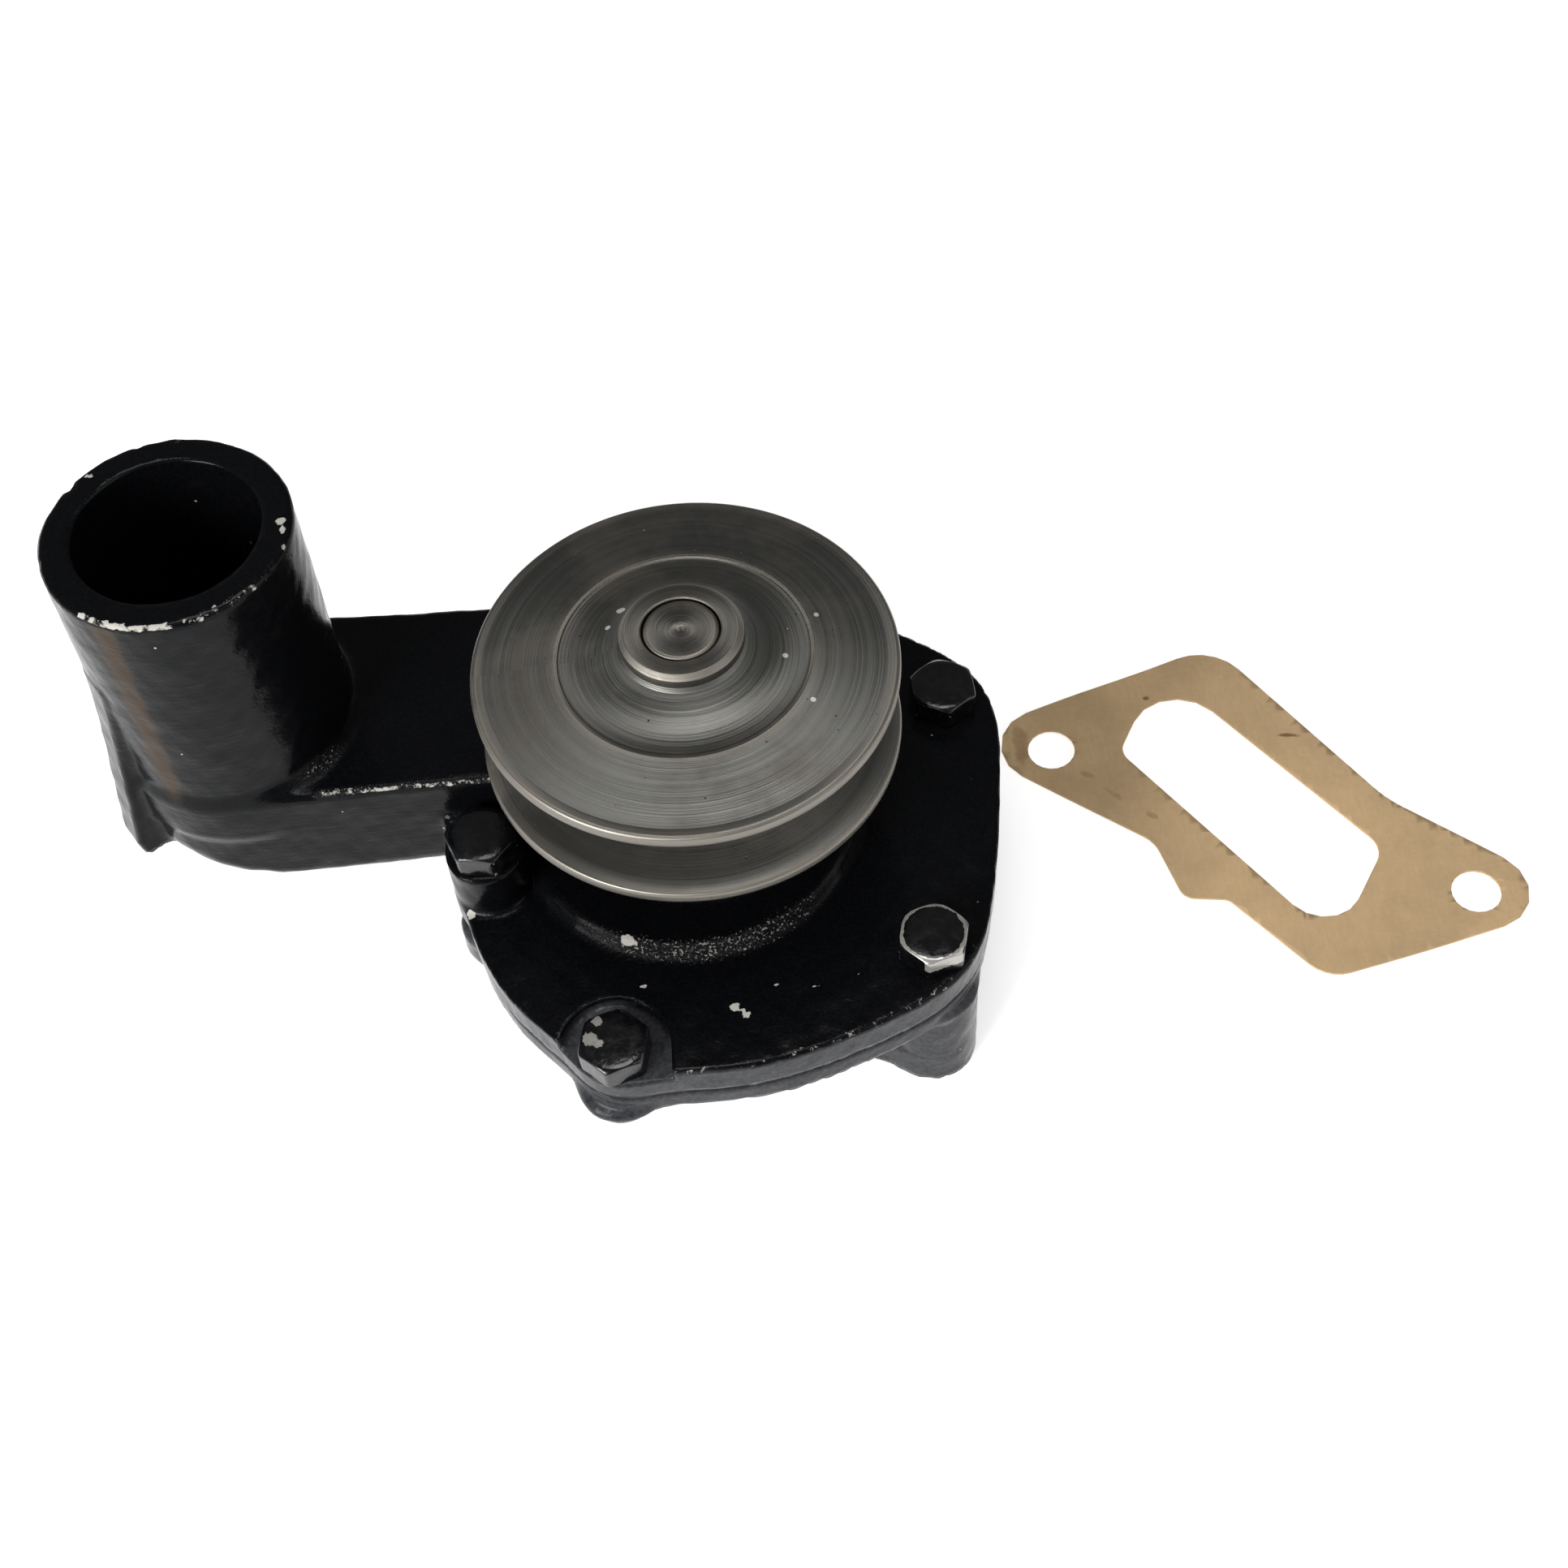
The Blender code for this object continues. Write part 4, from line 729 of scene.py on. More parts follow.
def outlet_outlines():
    """The foot's outer edge and the water slot in plan, about the middle of the line between the studs."""
    ear = 78.0
    edge = [(-ear, -6.8, 11.0), (-21.0, -16.2, 9.0), (-9.0, -28.8, 4.0), (1.0, -25.3, 3.0), (29.2, -37.1, 9.0),
            (ear + 1.0, 8.0, 11.0), (27.0, 17.7, 30.0), (-28.0, 47.2, 13.0)]
    slot = [(-38.0, 5.8, 5.0), (28.0, -27.0, 9.5), (30.3, 3.8, 6.0), (-38.0, 35.4, 12.0)]
    return [rounded_path(corners, True, 4)[0] for corners in (edge, slot)]


def stud_line():
    """Middle and direction of the line through the two studs, which stand under bolts b and e."""
    first, second = bolt_place("b"), bolt_place("e")
    along = (second - first) / np.linalg.norm(second - first)
    return first + along * STUD_HALF, along


def rear_field(s):
    """The rear casting: flange, bowl, outlet duct, foot, pillars and bosses, less chamber, slot and holes."""
    high = REAR_BOX[1]
    top = high[2]
    flange_low = top - 5.5
    middle, along = stud_line()
    turn = np.stack((along, (-along[1], along[0])), 0)
    edge, slot = [outline @ turn + middle for outline in outlet_outlines()]
    studs = [middle - along * STUD_HALF, middle + along * STUD_HALF]
    feet = {"a": 24.0, "c": 20.0, "d": 18.0, "f": 20.0}

    def field(x, y, z):
        swell = 0.055 * cast_swell(x, y, z)
        body = meet(flange_distance(x, y, s, 0.5), between(z, flange_low, top), 0.8)
        rho = np.hypot(x, y)
        bowl = meet(rho - s.bowl, between(z, 0.0, flange_low + 1.5), 2.0)
        foot = meet(outline_distance(x, y, edge) + s.foot_inset, between(z, 0.0, s.foot), 0.9)
        slot_side = outline_distance(x, y, slot)
        duct = meet(slot_side - s.wall, between(z, 0.3, flange_low + 1.5), 1.2)
        body = joined(body, joined(joined(bowl, duct, s.fillet), foot, 2.0), s.fillet)
        for letter in BOLTS:
            pillar = letter not in feet
            radius = s.pillar if pillar else s.boss
            boss = meet(upright(x, y, bolt_place(letter), radius),
                        between(z, feet.get(letter, 0.0), flange_low + 1.5), 0.9 if pillar else 1.4)
            body = joined(body, boss, 1.8)
        body = body + swell * np.clip(z - 0.5, 0.0, 1.0) * np.clip(top - 0.5 - z, 0.0, 1.0)
        body = np.maximum(body, -z)
        body = carved(body, np.maximum(rho - s.chamber, 8.0 - z), 0.5)
        body = carved(body, np.maximum(slot_side, z - 21.0), 0.5)
        for letter in BOLTS:
            floor = feet[letter] - 3.0 if letter in feet else 17.0
            body = carved(body, np.maximum(upright(x, y, bolt_place(letter), BOLT_HOLE_R), floor - z), 0.3)
        for place in studs:
            body = carved(body, np.maximum(upright(x, y, place, 5.3), z - 14.0), 0.4)
        return body

    return field


# ---------------------------------------------------------------- bolts, nut and screw

def hexagon(angle, flats, power=26.0):
    """Radius of a hexagon with slightly rounded corners: flats / 2 over a high-power mean of six cosines."""
    total = 0.0
    for side in range(6):
        total = total + np.maximum(np.cos(angle - side * np.pi / 3 - np.pi / 6), 0.0) ** power
    return flats / 2 / total ** (1.0 / power)


def hex_head(flats, height, shank, tip, turns, hole=0.0, spin=0.0, dome=0.25):
    """A hexagon head on a shank: for angle t and profile row v the radius is the smaller of the hexagon's and
    that of a 30 degree cone from the top, blended where they meet. A hole makes it a nut."""
    angle = 2 * np.pi * np.arange(turns) / turns
    flat_radius = flats / 2 - 0.3
    inner = hole if hole else 0.0
    rows = []
    for share in np.linspace(0.0 if hole else 0.12, 1.0, 7):
        rows.append((inner + (flat_radius - inner) * share, height - dome * share ** 4, 0.0))
    for drop in (0.12, 0.3, 0.55, 0.85, 1.2, 1.6, 2.1, 3.0, height - 1.2, height - 0.45, height - 0.2):
        rows.append((None, height - dome - drop, 1.0))
    washer = flats / 2 - 0.35
    rows += [(washer + 0.02, 0.18, 0.0), (washer - 0.25, 0.0, 0.0)]
    if hole:
        rows += [(hole + 0.4, 0.0, 0.0), (hole, 0.4, 0.0)]
    else:
        rows += [(shank + 0.5, 0.0, 0.0), (shank, -0.5, 0.0), (shank, tip * 0.5, 0.0), (shank, tip + 0.8, 0.0),
                 (shank - 0.8, tip, 0.0), (0.12 * shank, tip, 0.0)]
    outline = hexagon(angle - spin, flats)
    rings, marks = [], []
    for radius, level, is_side in rows:
        if is_side:
            cone = flat_radius + (height - dome - level) * 1.73
            blend = 0.18
            gap = np.clip(0.5 + (cone - outline) / (2 * blend), 0.0, 1.0)
            ring = cone * (1 - gap) + outline * gap - blend * gap * (1 - gap)
            corner = outline / (flats / 2) - 1.0
            low_down = level < height - dome - 1.0
            mark = np.clip(corner / 0.13, 0.0, 1.0) ** 2 if low_down else 0.45 + 0.5 * corner
        else:
            ring = np.full(turns, radius)
            mark = np.zeros(turns)
        rings.append(np.stack((ring * np.cos(angle), ring * np.sin(angle), np.full(turns, level)), 1))
        marks.append(mark)
    points = np.concatenate(rings)
    marks = np.concatenate(marks)
    faces = ring_faces(len(rows), turns, bool(hole))[0]
    sizes = np.full(len(faces) // 4, 4, np.int32)
    if not hole:
        points = np.vstack((points, [(0.0, 0.0, height), (0.0, 0.0, tip)]))
        marks = np.append(marks, (0.0, 0.0))
        faces = np.concatenate((faces, pole_faces(len(rows), turns)))
        sizes = np.concatenate((sizes, np.full(2 * turns, 3, np.int32)))
    return points, faces, sizes, marks


# ---------------------------------------------------------------- finishes

class Finish:
    """A material's node tree, with short calls for the nodes that the finishes use."""

    def __init__(self, name):
        self.material = bpy.data.materials.new(name)
        self.material.use_nodes = True
        self.tree = self.material.node_tree
        self.shader = self.tree.nodes["Principled BSDF"]
        coordinates = self.tree.nodes.new("ShaderNodeTexCoord")
        self.place = coordinates.outputs["Object"]

    def node(self, kind, settings=None, **inputs):
        made = self.tree.nodes.new(kind)
        for key, value in (settings or {}).items():
            setattr(made, key, value)
        for key, value in inputs.items():
            numbered = key[0] == "i" and key[1:].isdigit()
            self.feed(made.inputs[int(key[1:]) if numbered else key], value)
        return made

    def feed(self, socket, value):
        if isinstance(value, bpy.types.NodeSocket):
            self.tree.links.new(value, socket)
        else:
            socket.default_value = value

    def set(self, name, value):
        self.feed(self.shader.inputs[name], value)

    def noise(self, scale, detail=3.0, rough=0.5, vector=None):
        made = self.node("ShaderNodeTexNoise", Vector=vector or self.place, Scale=scale, Detail=detail,
                         Roughness=rough)
        return made.outputs["Fac"]

    def spots(self, scale, vector=None):
        made = self.node("ShaderNodeTexVoronoi", Vector=vector or self.place, Scale=scale)
        return made.outputs["Distance"]

    def math(self, operation, first, second=0.0):
        return self.node("ShaderNodeMath", {"operation": operation}, i0=first, i1=second).outputs[0]

    def times(self, first, second):
        return self.math("MULTIPLY", first, second)

    def plus(self, first, second):
        return self.math("ADD", first, second)

    def minus(self, first, second):
        return self.math("SUBTRACT", first, second)

    def larger(self, first, second):
        return self.math("MAXIMUM", first, second)

    def ramp(self, value, low, high, out_low=0.0, out_high=1.0):
        made = self.node("ShaderNodeMapRange", {"interpolation_type": "SMOOTHSTEP"}, Value=value)
        made.inputs["From Min"].default_value = low
        made.inputs["From Max"].default_value = high
        made.inputs["To Min"].default_value = out_low
        made.inputs["To Max"].default_value = out_high
        return made.outputs[0]

    def mix(self, share, first, second):
        made = self.node("ShaderNodeMix", {"data_type": "RGBA"})
        self.feed(made.inputs[0], share)
        self.feed(made.inputs[6], first if isinstance(first, bpy.types.NodeSocket) else (*first, 1.0))
        self.feed(made.inputs[7], second if isinstance(second, bpy.types.NodeSocket) else (*second, 1.0))
        return made.outputs[2]

    def blend(self, share, first, second):
        made = self.node("ShaderNodeMix", {"data_type": "FLOAT"})
        self.feed(made.inputs[0], share)
        self.feed(made.inputs[2], first)
        self.feed(made.inputs[3], second)
        return made.outputs[0]

    def stored(self, name):
        return self.node("ShaderNodeAttribute", {"attribute_name": name}).outputs["Fac"]

    def bump(self, height, distance, strength=1.0, normal=None):
        made = self.node("ShaderNodeBump", Height=height, Distance=distance, Strength=strength)
        if normal is not None:
            self.feed(made.inputs["Normal"], normal)
        return made.outputs["Normal"]

    def apart(self, vector):
        return self.node("ShaderNodeSeparateXYZ", Vector=vector).outputs

    def together(self, x, y, z):
        return self.node("ShaderNodeCombineXYZ", X=x, Y=y, Z=z).outputs[0]


def cast_enamel(colours):
    """Gloss black enamel over a sand-cast skin: chipped where knocked, with painted glints on its coarse grit
    and painted highlights along some front edges, brown where thin, and grey below its rim, partly dust and
    partly a painted reflection of the pale ground.
    """
    f = Finish("cast_enamel")
    edge = f.stored("edge")
    hollow = f.stored("hollow")
    worn = f.stored("worn")
    aged = f.stored("aged")
    broad = f.noise(85.0, 3.0, 0.5)
    grain = f.noise(1300.0, 3.0, 0.6)
    flake = f.noise(520.0, 5.0, 0.7)
    grit_and_glint_share = f.stored("grit")
    x, y, height = f.apart(f.place)
    ripples = f.noise(1.0, 3.0, 0.55, f.together(f.times(x, 70.0), f.times(y, 70.0),
                                               f.times(height, 520.0)))
    # Chips, and the painted edge highlights that the worn attribute carries, both turn to the chip colour.
    reach = f.plus(f.times(worn, 0.62), f.times(flake, 0.62))
    reach = f.plus(reach, f.times(edge, 0.06))
    chips = f.ramp(reach, 0.66, 0.72)
    specks = f.ramp(f.spots(140.0), 0.030, 0.050, 1.0, 0.0)
    specks = f.times(specks, f.ramp(f.noise(60.0, 2.0, 0.5), 0.50, 0.58))
    bare = f.larger(chips, f.times(specks, 0.8))
    coarse = f.noise(1700.0, 3.0, 0.6)
    # Painted glints: pale sparkle where the coarse sand skin is marked, mostly on its front-facing parts.
    painted_glints = f.ramp(f.plus(coarse, f.times(grit_and_glint_share, 0.14)), 0.68, 0.76)
    painted_glints = f.times(painted_glints, f.ramp(grit_and_glint_share, 0.1, 0.6))
    dust_and_sheen_share = f.times(f.stored("dust_and_sheen_share"), f.ramp(f.noise(900.0, 4.0, 0.7), 0.3, 0.7, 0.45, 1.0))
    tint = f.times(f.ramp(f.plus(aged, f.times(f.noise(180.0, 4.0, 0.65), 0.6)), 0.45, 1.1),
                  0.9)
    tone = f.mix(f.ramp(grain, 0.3, 0.8, 0.0, 0.5), tuple(colours.paint), tuple(colours.paint_light))
    # Dust and a painted reflection of the pale ground on the walls below the flange's top.
    tone = f.mix(dust_and_sheen_share, tone, tuple(colours.dust_and_sheen))
    tone = f.mix(tint, tone, tuple(colours.rust))
    # Painted glints in the chip colour.
    tone = f.mix(f.times(painted_glints, 0.55), tone, tuple(colours.chip_and_glint))
    tone = f.mix(f.times(bare, 0.9), tone, tuple(colours.chip_and_glint))
    f.set("Base Color", tone)
    gloss = f.ramp(f.noise(210.0, 3.0, 0.6), 0.3, 0.7, 0.13, 0.24)
    gloss = f.blend(f.times(f.larger(hollow, tint), 0.8), gloss, 0.42)
    f.set("Roughness", f.blend(bare, gloss, 0.55))
    f.set("Specular IOR Level", 0.12)
    normal = f.bump(broad, 0.0007, 0.55)
    normal = f.bump(f.times(ripples, f.stored("rippled")), 0.00016, 0.6, normal)
    normal = f.bump(grain, 0.00010, 0.6, normal)
    normal = f.bump(f.times(coarse, grit_and_glint_share), 0.0008, 0.8, normal)
    normal = f.bump(f.minus(1.0, bare), 0.00015, 0.8, normal)
    f.set("Normal", normal)
    return f.material


def bolt_enamel(colours):
    """Gloss black enamel on a forged bolt, rubbed bright on the corners of its head, with the knocks and painted
    highlights that its worn attribute carries.
    """
    f = Finish("bolt_enamel")
    edge = f.stored("edge")
    flake = f.noise(700.0, 4.0, 0.65)
    rubbed_and_glint = f.ramp(f.plus(f.times(edge, 0.30), flake), 0.86, 0.94)
    worn = f.plus(f.times(f.stored("worn"), 0.62), f.times(flake, 0.62))
    # The worn attribute adds knocks and, on bolt b, a painted highlight ring and flank.
    rubbed_and_glint = f.larger(rubbed_and_glint, f.ramp(worn, 0.64, 0.72))
    tone = f.mix(f.ramp(f.noise(240.0, 3.0, 0.6), 0.45, 0.8), tuple(colours.paint), tuple(colours.paint_light))
    tone = f.mix(f.times(rubbed_and_glint, 0.8), tone, tuple(colours.chip_and_glint))
    f.set("Base Color", tone)
    f.set("Roughness", f.ramp(f.noise(500.0, 2.0, 0.5), 0.3, 0.7, 0.12, 0.26))
    f.set("Metallic", f.times(rubbed_and_glint, 0.5))
    normal = f.bump(f.noise(380.0, 3.0, 0.5), 0.00022, 0.6)
    normal = f.bump(f.noise(1800.0, 2.0, 0.5), 0.00004, 0.5, normal)
    f.set("Normal", normal)
    return f.material


# Pale dabs on the pulley's face: place in plan and reach, in millimetres
DABS = ((-12.7, 11.5, 1.3), (28.1, 7.7, 0.6), (-15.5, 6.9, 0.6), (21.0, -2.9, 0.6), (25.9, -14.5, 0.6))


def turned_steel(colours, name="turned_steel_face", stain_amount=1.0):
    """Bare turned steel: fine rings round the axis, uneven brown stains, pits, pale dabs and painted highlights
    on the rounded edges.
    """
    f = Finish(name)
    x, y, z = f.apart(f.place)
    radius = f.math("POWER", f.plus(f.times(x, x), f.times(y, y)), 0.5)
    angle = f.math("ARCTAN2", y, x)
    ring_place = f.together(radius, z, f.times(angle, 0.00012))
    rings = f.noise(2600.0, 3.0, 0.6, ring_place)
    bands = f.noise(760.0, 3.0, 0.6, ring_place)
    stain = f.noise(42.0, 5.0, 0.62)
    stain_fine = f.noise(190.0, 4.0, 0.65)
    stain_share = f.times(f.ramp(f.plus(stain, f.times(stain_fine, 0.35)), 0.60, 0.90),
                         0.40 * stain_amount)
    edge = f.stored("edge")
    steel = tuple(colours.steel)
    dark = tuple(value * 0.78 for value in steel)
    tone = f.mix(f.ramp(bands, 0.3, 0.7), dark, steel)
    tone = f.mix(f.ramp(rings, 0.25, 0.75, 0.0, 0.35), tone, tuple(min(1.0, value * 1.2) for value in steel))
    tone = f.mix(stain_share, tone, tuple(colours.steel_stain))
    pits = f.ramp(f.spots(330.0), 0.045, 0.085, 1.0, 0.0)
    pits = f.times(pits, f.ramp(f.noise(90.0, 2.0, 0.5), 0.52, 0.60))
    tone = f.mix(f.times(pits, 0.85), tone, (0.02, 0.016, 0.013))
    flecks = f.ramp(f.spots(230.0, f.node("ShaderNodeMapping", Vector=f.place,
                                          Location=(0.013, 0.007, 0.003)).outputs[0]), 0.035, 0.06, 1.0, 0.0)
    flecks = f.times(flecks, f.ramp(f.noise(120.0, 2.0, 0.5), 0.60, 0.66))
    for dab_x, dab_y, dab_reach in DABS:
        far = f.plus(f.math("POWER", f.minus(x, dab_x * MM), 2.0),
                     f.math("POWER", f.minus(y, dab_y * MM), 2.0))
        far = f.math("DIVIDE", far, (dab_reach * MM) ** 2)
        far = f.plus(far, f.times(f.minus(stain_fine, 0.5), 3.0))
        flecks = f.larger(flecks, f.ramp(far, 0.7, 1.1, 1.0, 0.0))
    tone = f.mix(f.times(flecks, 0.8), tone, (0.72, 0.70, 0.66))
    # Painted highlight: a lighter brownish tone on the bulging rounds of the turned profile.
    tone = f.mix(f.times(edge, 0.25), tone, (0.42, 0.37, 0.31))
    f.set("Base Color", tone)
    f.set("Metallic", f.minus(1.0, f.times(f.larger(stain_share, flecks), 0.55)))
    roughness = f.plus(f.ramp(rings, 0.3, 0.7, 0.36, 0.48), f.times(stain_share, 0.22))
    f.set("Roughness", roughness)
    f.set("Anisotropic", 0.65)
    tangent = f.node("ShaderNodeTangent", {"direction_type": "UV_MAP", "uv_map": "turned"})
    f.set("Tangent", tangent.outputs[0])
    normal = f.bump(rings, 0.00006, 0.7)
    normal = f.bump(bands, 0.00012, 0.35, normal)
    normal = f.bump(f.minus(1.0, pits), 0.00018, 0.7, normal)
    f.set("Normal", normal)
    return f.material


# Stains of the loose gasket: place in plan, length and width in millimetres, angle, strength, raggedness
STAINS = (
    (79.0, 41.5, 8.0, 2.4, 88.0, 0.42, 2.2), (94.3, 30.7, 2.6, 1.0, -30.0, 0.30, 3.0),
    (100.4, 23.8, 3.2, 1.0, -45.0, 0.25, 3.0), (108.3, 16.9, 2.2, 1.0, -40.0, 0.35, 3.0),
    (112.4, 53.3, 1.0, 0.8, 0.0, 0.80, 1.0), (145.8, 38.0, 3.4, 0.7, -8.0, 0.85, 2.6))


def gasket_card(colours):
    """Gasket paper: matted fibres in two lengths, a few oil stains, a scuff, and darker cut edges."""
    f = Finish("gasket_card")

    def fibres(scale, stretch, turn):
        """Noise drawn out along one direction, like matted fibres."""
        place = f.node("ShaderNodeMapping", Vector=f.place, Scale=stretch, Rotation=(0.0, 0.0, turn)).outputs[0]
        return f.noise(scale, 4.0, 0.7, place)

    fibre_a = fibres(900.0, (1.0, 0.28, 1.0), 0.5)
    fibre_b = fibres(1300.0, (0.3, 1.0, 1.0), 0.2)
    cloud = f.noise(45.0, 4.0, 0.6)
    paper = tuple(colours.paper)
    tone = f.mix(f.ramp(cloud, 0.3, 0.7), tuple(value * 0.88 for value in paper),
                 tuple(min(1.0, value * 1.08) for value in paper))
    tone = f.mix(f.ramp(fibre_a, 0.3, 0.7, 0.0, 0.28), tone, tuple(value * 0.72 for value in paper))
    tone = f.mix(f.ramp(fibre_b, 0.4, 0.8, 0.0, 0.22), tone, tuple(min(1.0, value * 1.25) for value in paper))
    x, y, _ = f.apart(f.place)
    grit = f.noise(260.0, 5.0, 0.7)

    def mark(at_x, at_y, long, wide, degrees, strength, ragged):
        """An oval stain: one inside it, none outside, its border broken by noise."""
        turn = math.radians(degrees)
        off_x, off_y = f.minus(x, at_x * MM), f.minus(y, at_y * MM)
        along = f.plus(f.times(off_x, math.cos(turn)), f.times(off_y, math.sin(turn)))
        across = f.minus(f.times(off_y, math.cos(turn)),
                        f.times(off_x, math.sin(turn)))
        along = f.math("DIVIDE", along, long * MM)
        across = f.math("DIVIDE", across, wide * MM)
        far = f.plus(f.times(along, along), f.times(across, across))
        far = f.plus(far, f.times(f.minus(grit, 0.5), ragged))
        return f.ramp(far, 0.2, 1.0, strength, 0.0)

    stains = 0.0
    for spot in STAINS:
        stains = f.larger(stains, mark(*spot))
    tone = f.mix(stains, tone, tuple(colours.paper_stain))
    f.set("Base Color", tone)
    f.set("Roughness", f.ramp(fibre_b, 0.3, 0.7, 0.78, 0.92))
    f.set("Specular IOR Level", 0.25)
    normal = f.bump(fibre_a, 0.00012, 0.6)
    normal = f.bump(fibre_b, 0.00008, 0.5, normal)
    f.set("Normal", normal)
    return f.material


def plain_finish(name, light, dark, roughness, metallic, scale, depth):
    """An even finish with a fine mottle in its colour, gloss and height."""
    f = Finish(name)
    mottle = f.noise(scale, 4.0, 0.6)
    fine = f.noise(scale * 6.0, 2.0, 0.5)
    f.set("Base Color", f.mix(f.ramp(mottle, 0.3, 0.7), dark, light))
    f.set("Roughness", f.ramp(fine, 0.3, 0.7, roughness - 0.06, roughness + 0.08))
    f.set("Metallic", metallic)
    f.set("Normal", f.bump(mottle, depth, 0.6, f.bump(fine, depth * 0.3, 0.5)))
    return f.material


def floor_finish():
    """Pale even ground with a barely visible mottle."""
    f = Finish("pale_ground")
    f.set("Base Color", f.mix(f.ramp(f.noise(6.0, 3.0, 0.5), 0.3, 0.7), (0.90, 0.90, 0.90), (0.93, 0.93, 0.93)))
    f.set("Roughness", 0.85)
    f.set("Specular IOR Level", 0.15)
    f.set("Emission Color", (1.0, 1.0, 1.0, 1.0))
    f.set("Emission Strength", 0.55)
    return f.material


def finish_once(name, maker):
    """The named material, made the first time that it is asked for."""
    return bpy.data.materials.get(name) or maker()


def refinish(node, material):
    """Gives a node of the frame a better material."""
    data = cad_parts[node].data
    data.materials.clear()
    data.materials.append(material)


def dress(obj, material, body, slot, *nodes):
    """Gives a finished piece its material, its body and the nodes that it stands for; the slot argument is not
    used.
    """
    obj.data.materials.clear()
    obj.data.materials.append(material)
    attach(obj, body)
    if nodes:
        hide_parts(*nodes)


# ---------------------------------------------------------------- operators

def looks():
    return bpy.context.scene.pump_looks


class PUMP_OT_castings(bpy.types.Operator):
    """Build the skins of the front and rear castings"""

    bl_idname = "pump.castings"
    bl_label = "Castings"

    def execute(self, context):
        s = Millimetres(looks().castings)
        grid = s.grid * 1.0
        enamel = finish_once("cast_enamel", lambda: cast_enamel(looks().colours))
        for name, field, box in (("front_housing", front_field(s), FRONT_BOX),
                                 ("rear_housing", rear_field(s), REAR_BOX)):
            piece = skin(f"{name}_skin", field, *box, grid)
            points = point_places(piece)
            amounts = {"worn": wear_and_edge_glints, "aged": age, "grit": grit, "dust_and_sheen_share": dust_and_sheen, "rippled": ripple}
            for mark, amount in amounts.items():
                point_value(piece, mark, amount(points, s))
            dress(piece, enamel, "casing", "casting_paint", name)
        return {"FINISHED"}


class PUMP_OT_pulley(bpy.types.Operator):
    """Turn the pulley and the shaft"""

    bl_idname = "pump.pulley"
    bl_label = "Pulley and shaft"

    def execute(self, context):
        s = Millimetres(looks().pulley)
        turns = looks().pulley.turns
        low, high = PULLEY_BOX
        rim_low, top = low[2], high[2]
        face = rim_low + s.width
        middle = (rim_low + face) / 2
        bore = SHAFT_BOX[1][0] + 0.3
        narrow = s.groove_top / 2 - (s.radius - s.groove_floor) * math.tan(math.radians(18.0))
        step_z = face + 2.8
        dish_top = top - 4.0
        share = np.linspace(0.0, 1.0, 9)
        dish_r = s.hub + 0.6 + (s.step - s.hub - 1.6) * share
        dish_z = step_z - 0.45 + (dish_top - step_z + 0.45) * (1 - share) ** 2.2
        dish = [(r, h, 2.0) for r, h in zip(dish_r, dish_z)]
        dish[0] = (dish[0][0], dish[0][1], 0.6)
        dish[-1] = (dish[-1][0], dish[-1][1], 0.25)
        edge = s.rim_round
        corners = [
            (s.hub - 1.1, top, 0.25), (s.hub, top - 1.1, 0.25), (s.hub, dish_top + 1.0, 0.5), *dish,
            (s.step - 0.5, step_z - 0.42, 0.15), (s.step - 0.3, step_z - 0.08, 0.12),
            (s.step + 0.4, step_z, 0.3), (s.radius - 2.6, face, 1.0),
            (s.radius, face, edge), (s.radius, middle + s.groove_top / 2, edge * 0.9),
            (s.groove_floor, middle + narrow, 0.7), (s.groove_floor, middle - narrow, 0.7),
            (s.radius, middle - s.groove_top / 2, edge * 0.9), (s.radius, rim_low, edge),
            (28.0, rim_low, 0.5), (28.0, 86.5, 2.0), (bore, 86.5, 0.4), (bore, top, 0.45)]
        piece = turned("pulley_turned", corners, turns)
        steel = finish_once("turned_steel_face", lambda: turned_steel(looks().colours))
        dress(piece, steel, "rotor", "turned_steel", "pulley")
        shaft_low, shaft_high = SHAFT_BOX[0][2], SHAFT_BOX[1][2]
        radius = SHAFT_BOX[1][0]
        corners = [(0.0, shaft_high - 0.55, 0.0), (1.3, shaft_high - 0.15, 0.3), (2.0, shaft_high - 0.05, 0.3),
                   (radius, shaft_high, 0.9), (radius, shaft_low, 0.8), (0.0, shaft_low, 0.0)]
        piece = turned("pump_shaft_turned", corners, 144)
        steel = finish_once("shaft_steel_face", lambda: turned_steel(looks().colours, "shaft_steel_face", 1.5))
        dress(piece, steel, "rotor", "shaft_steel", "pump_shaft")
        return {"FINISHED"}


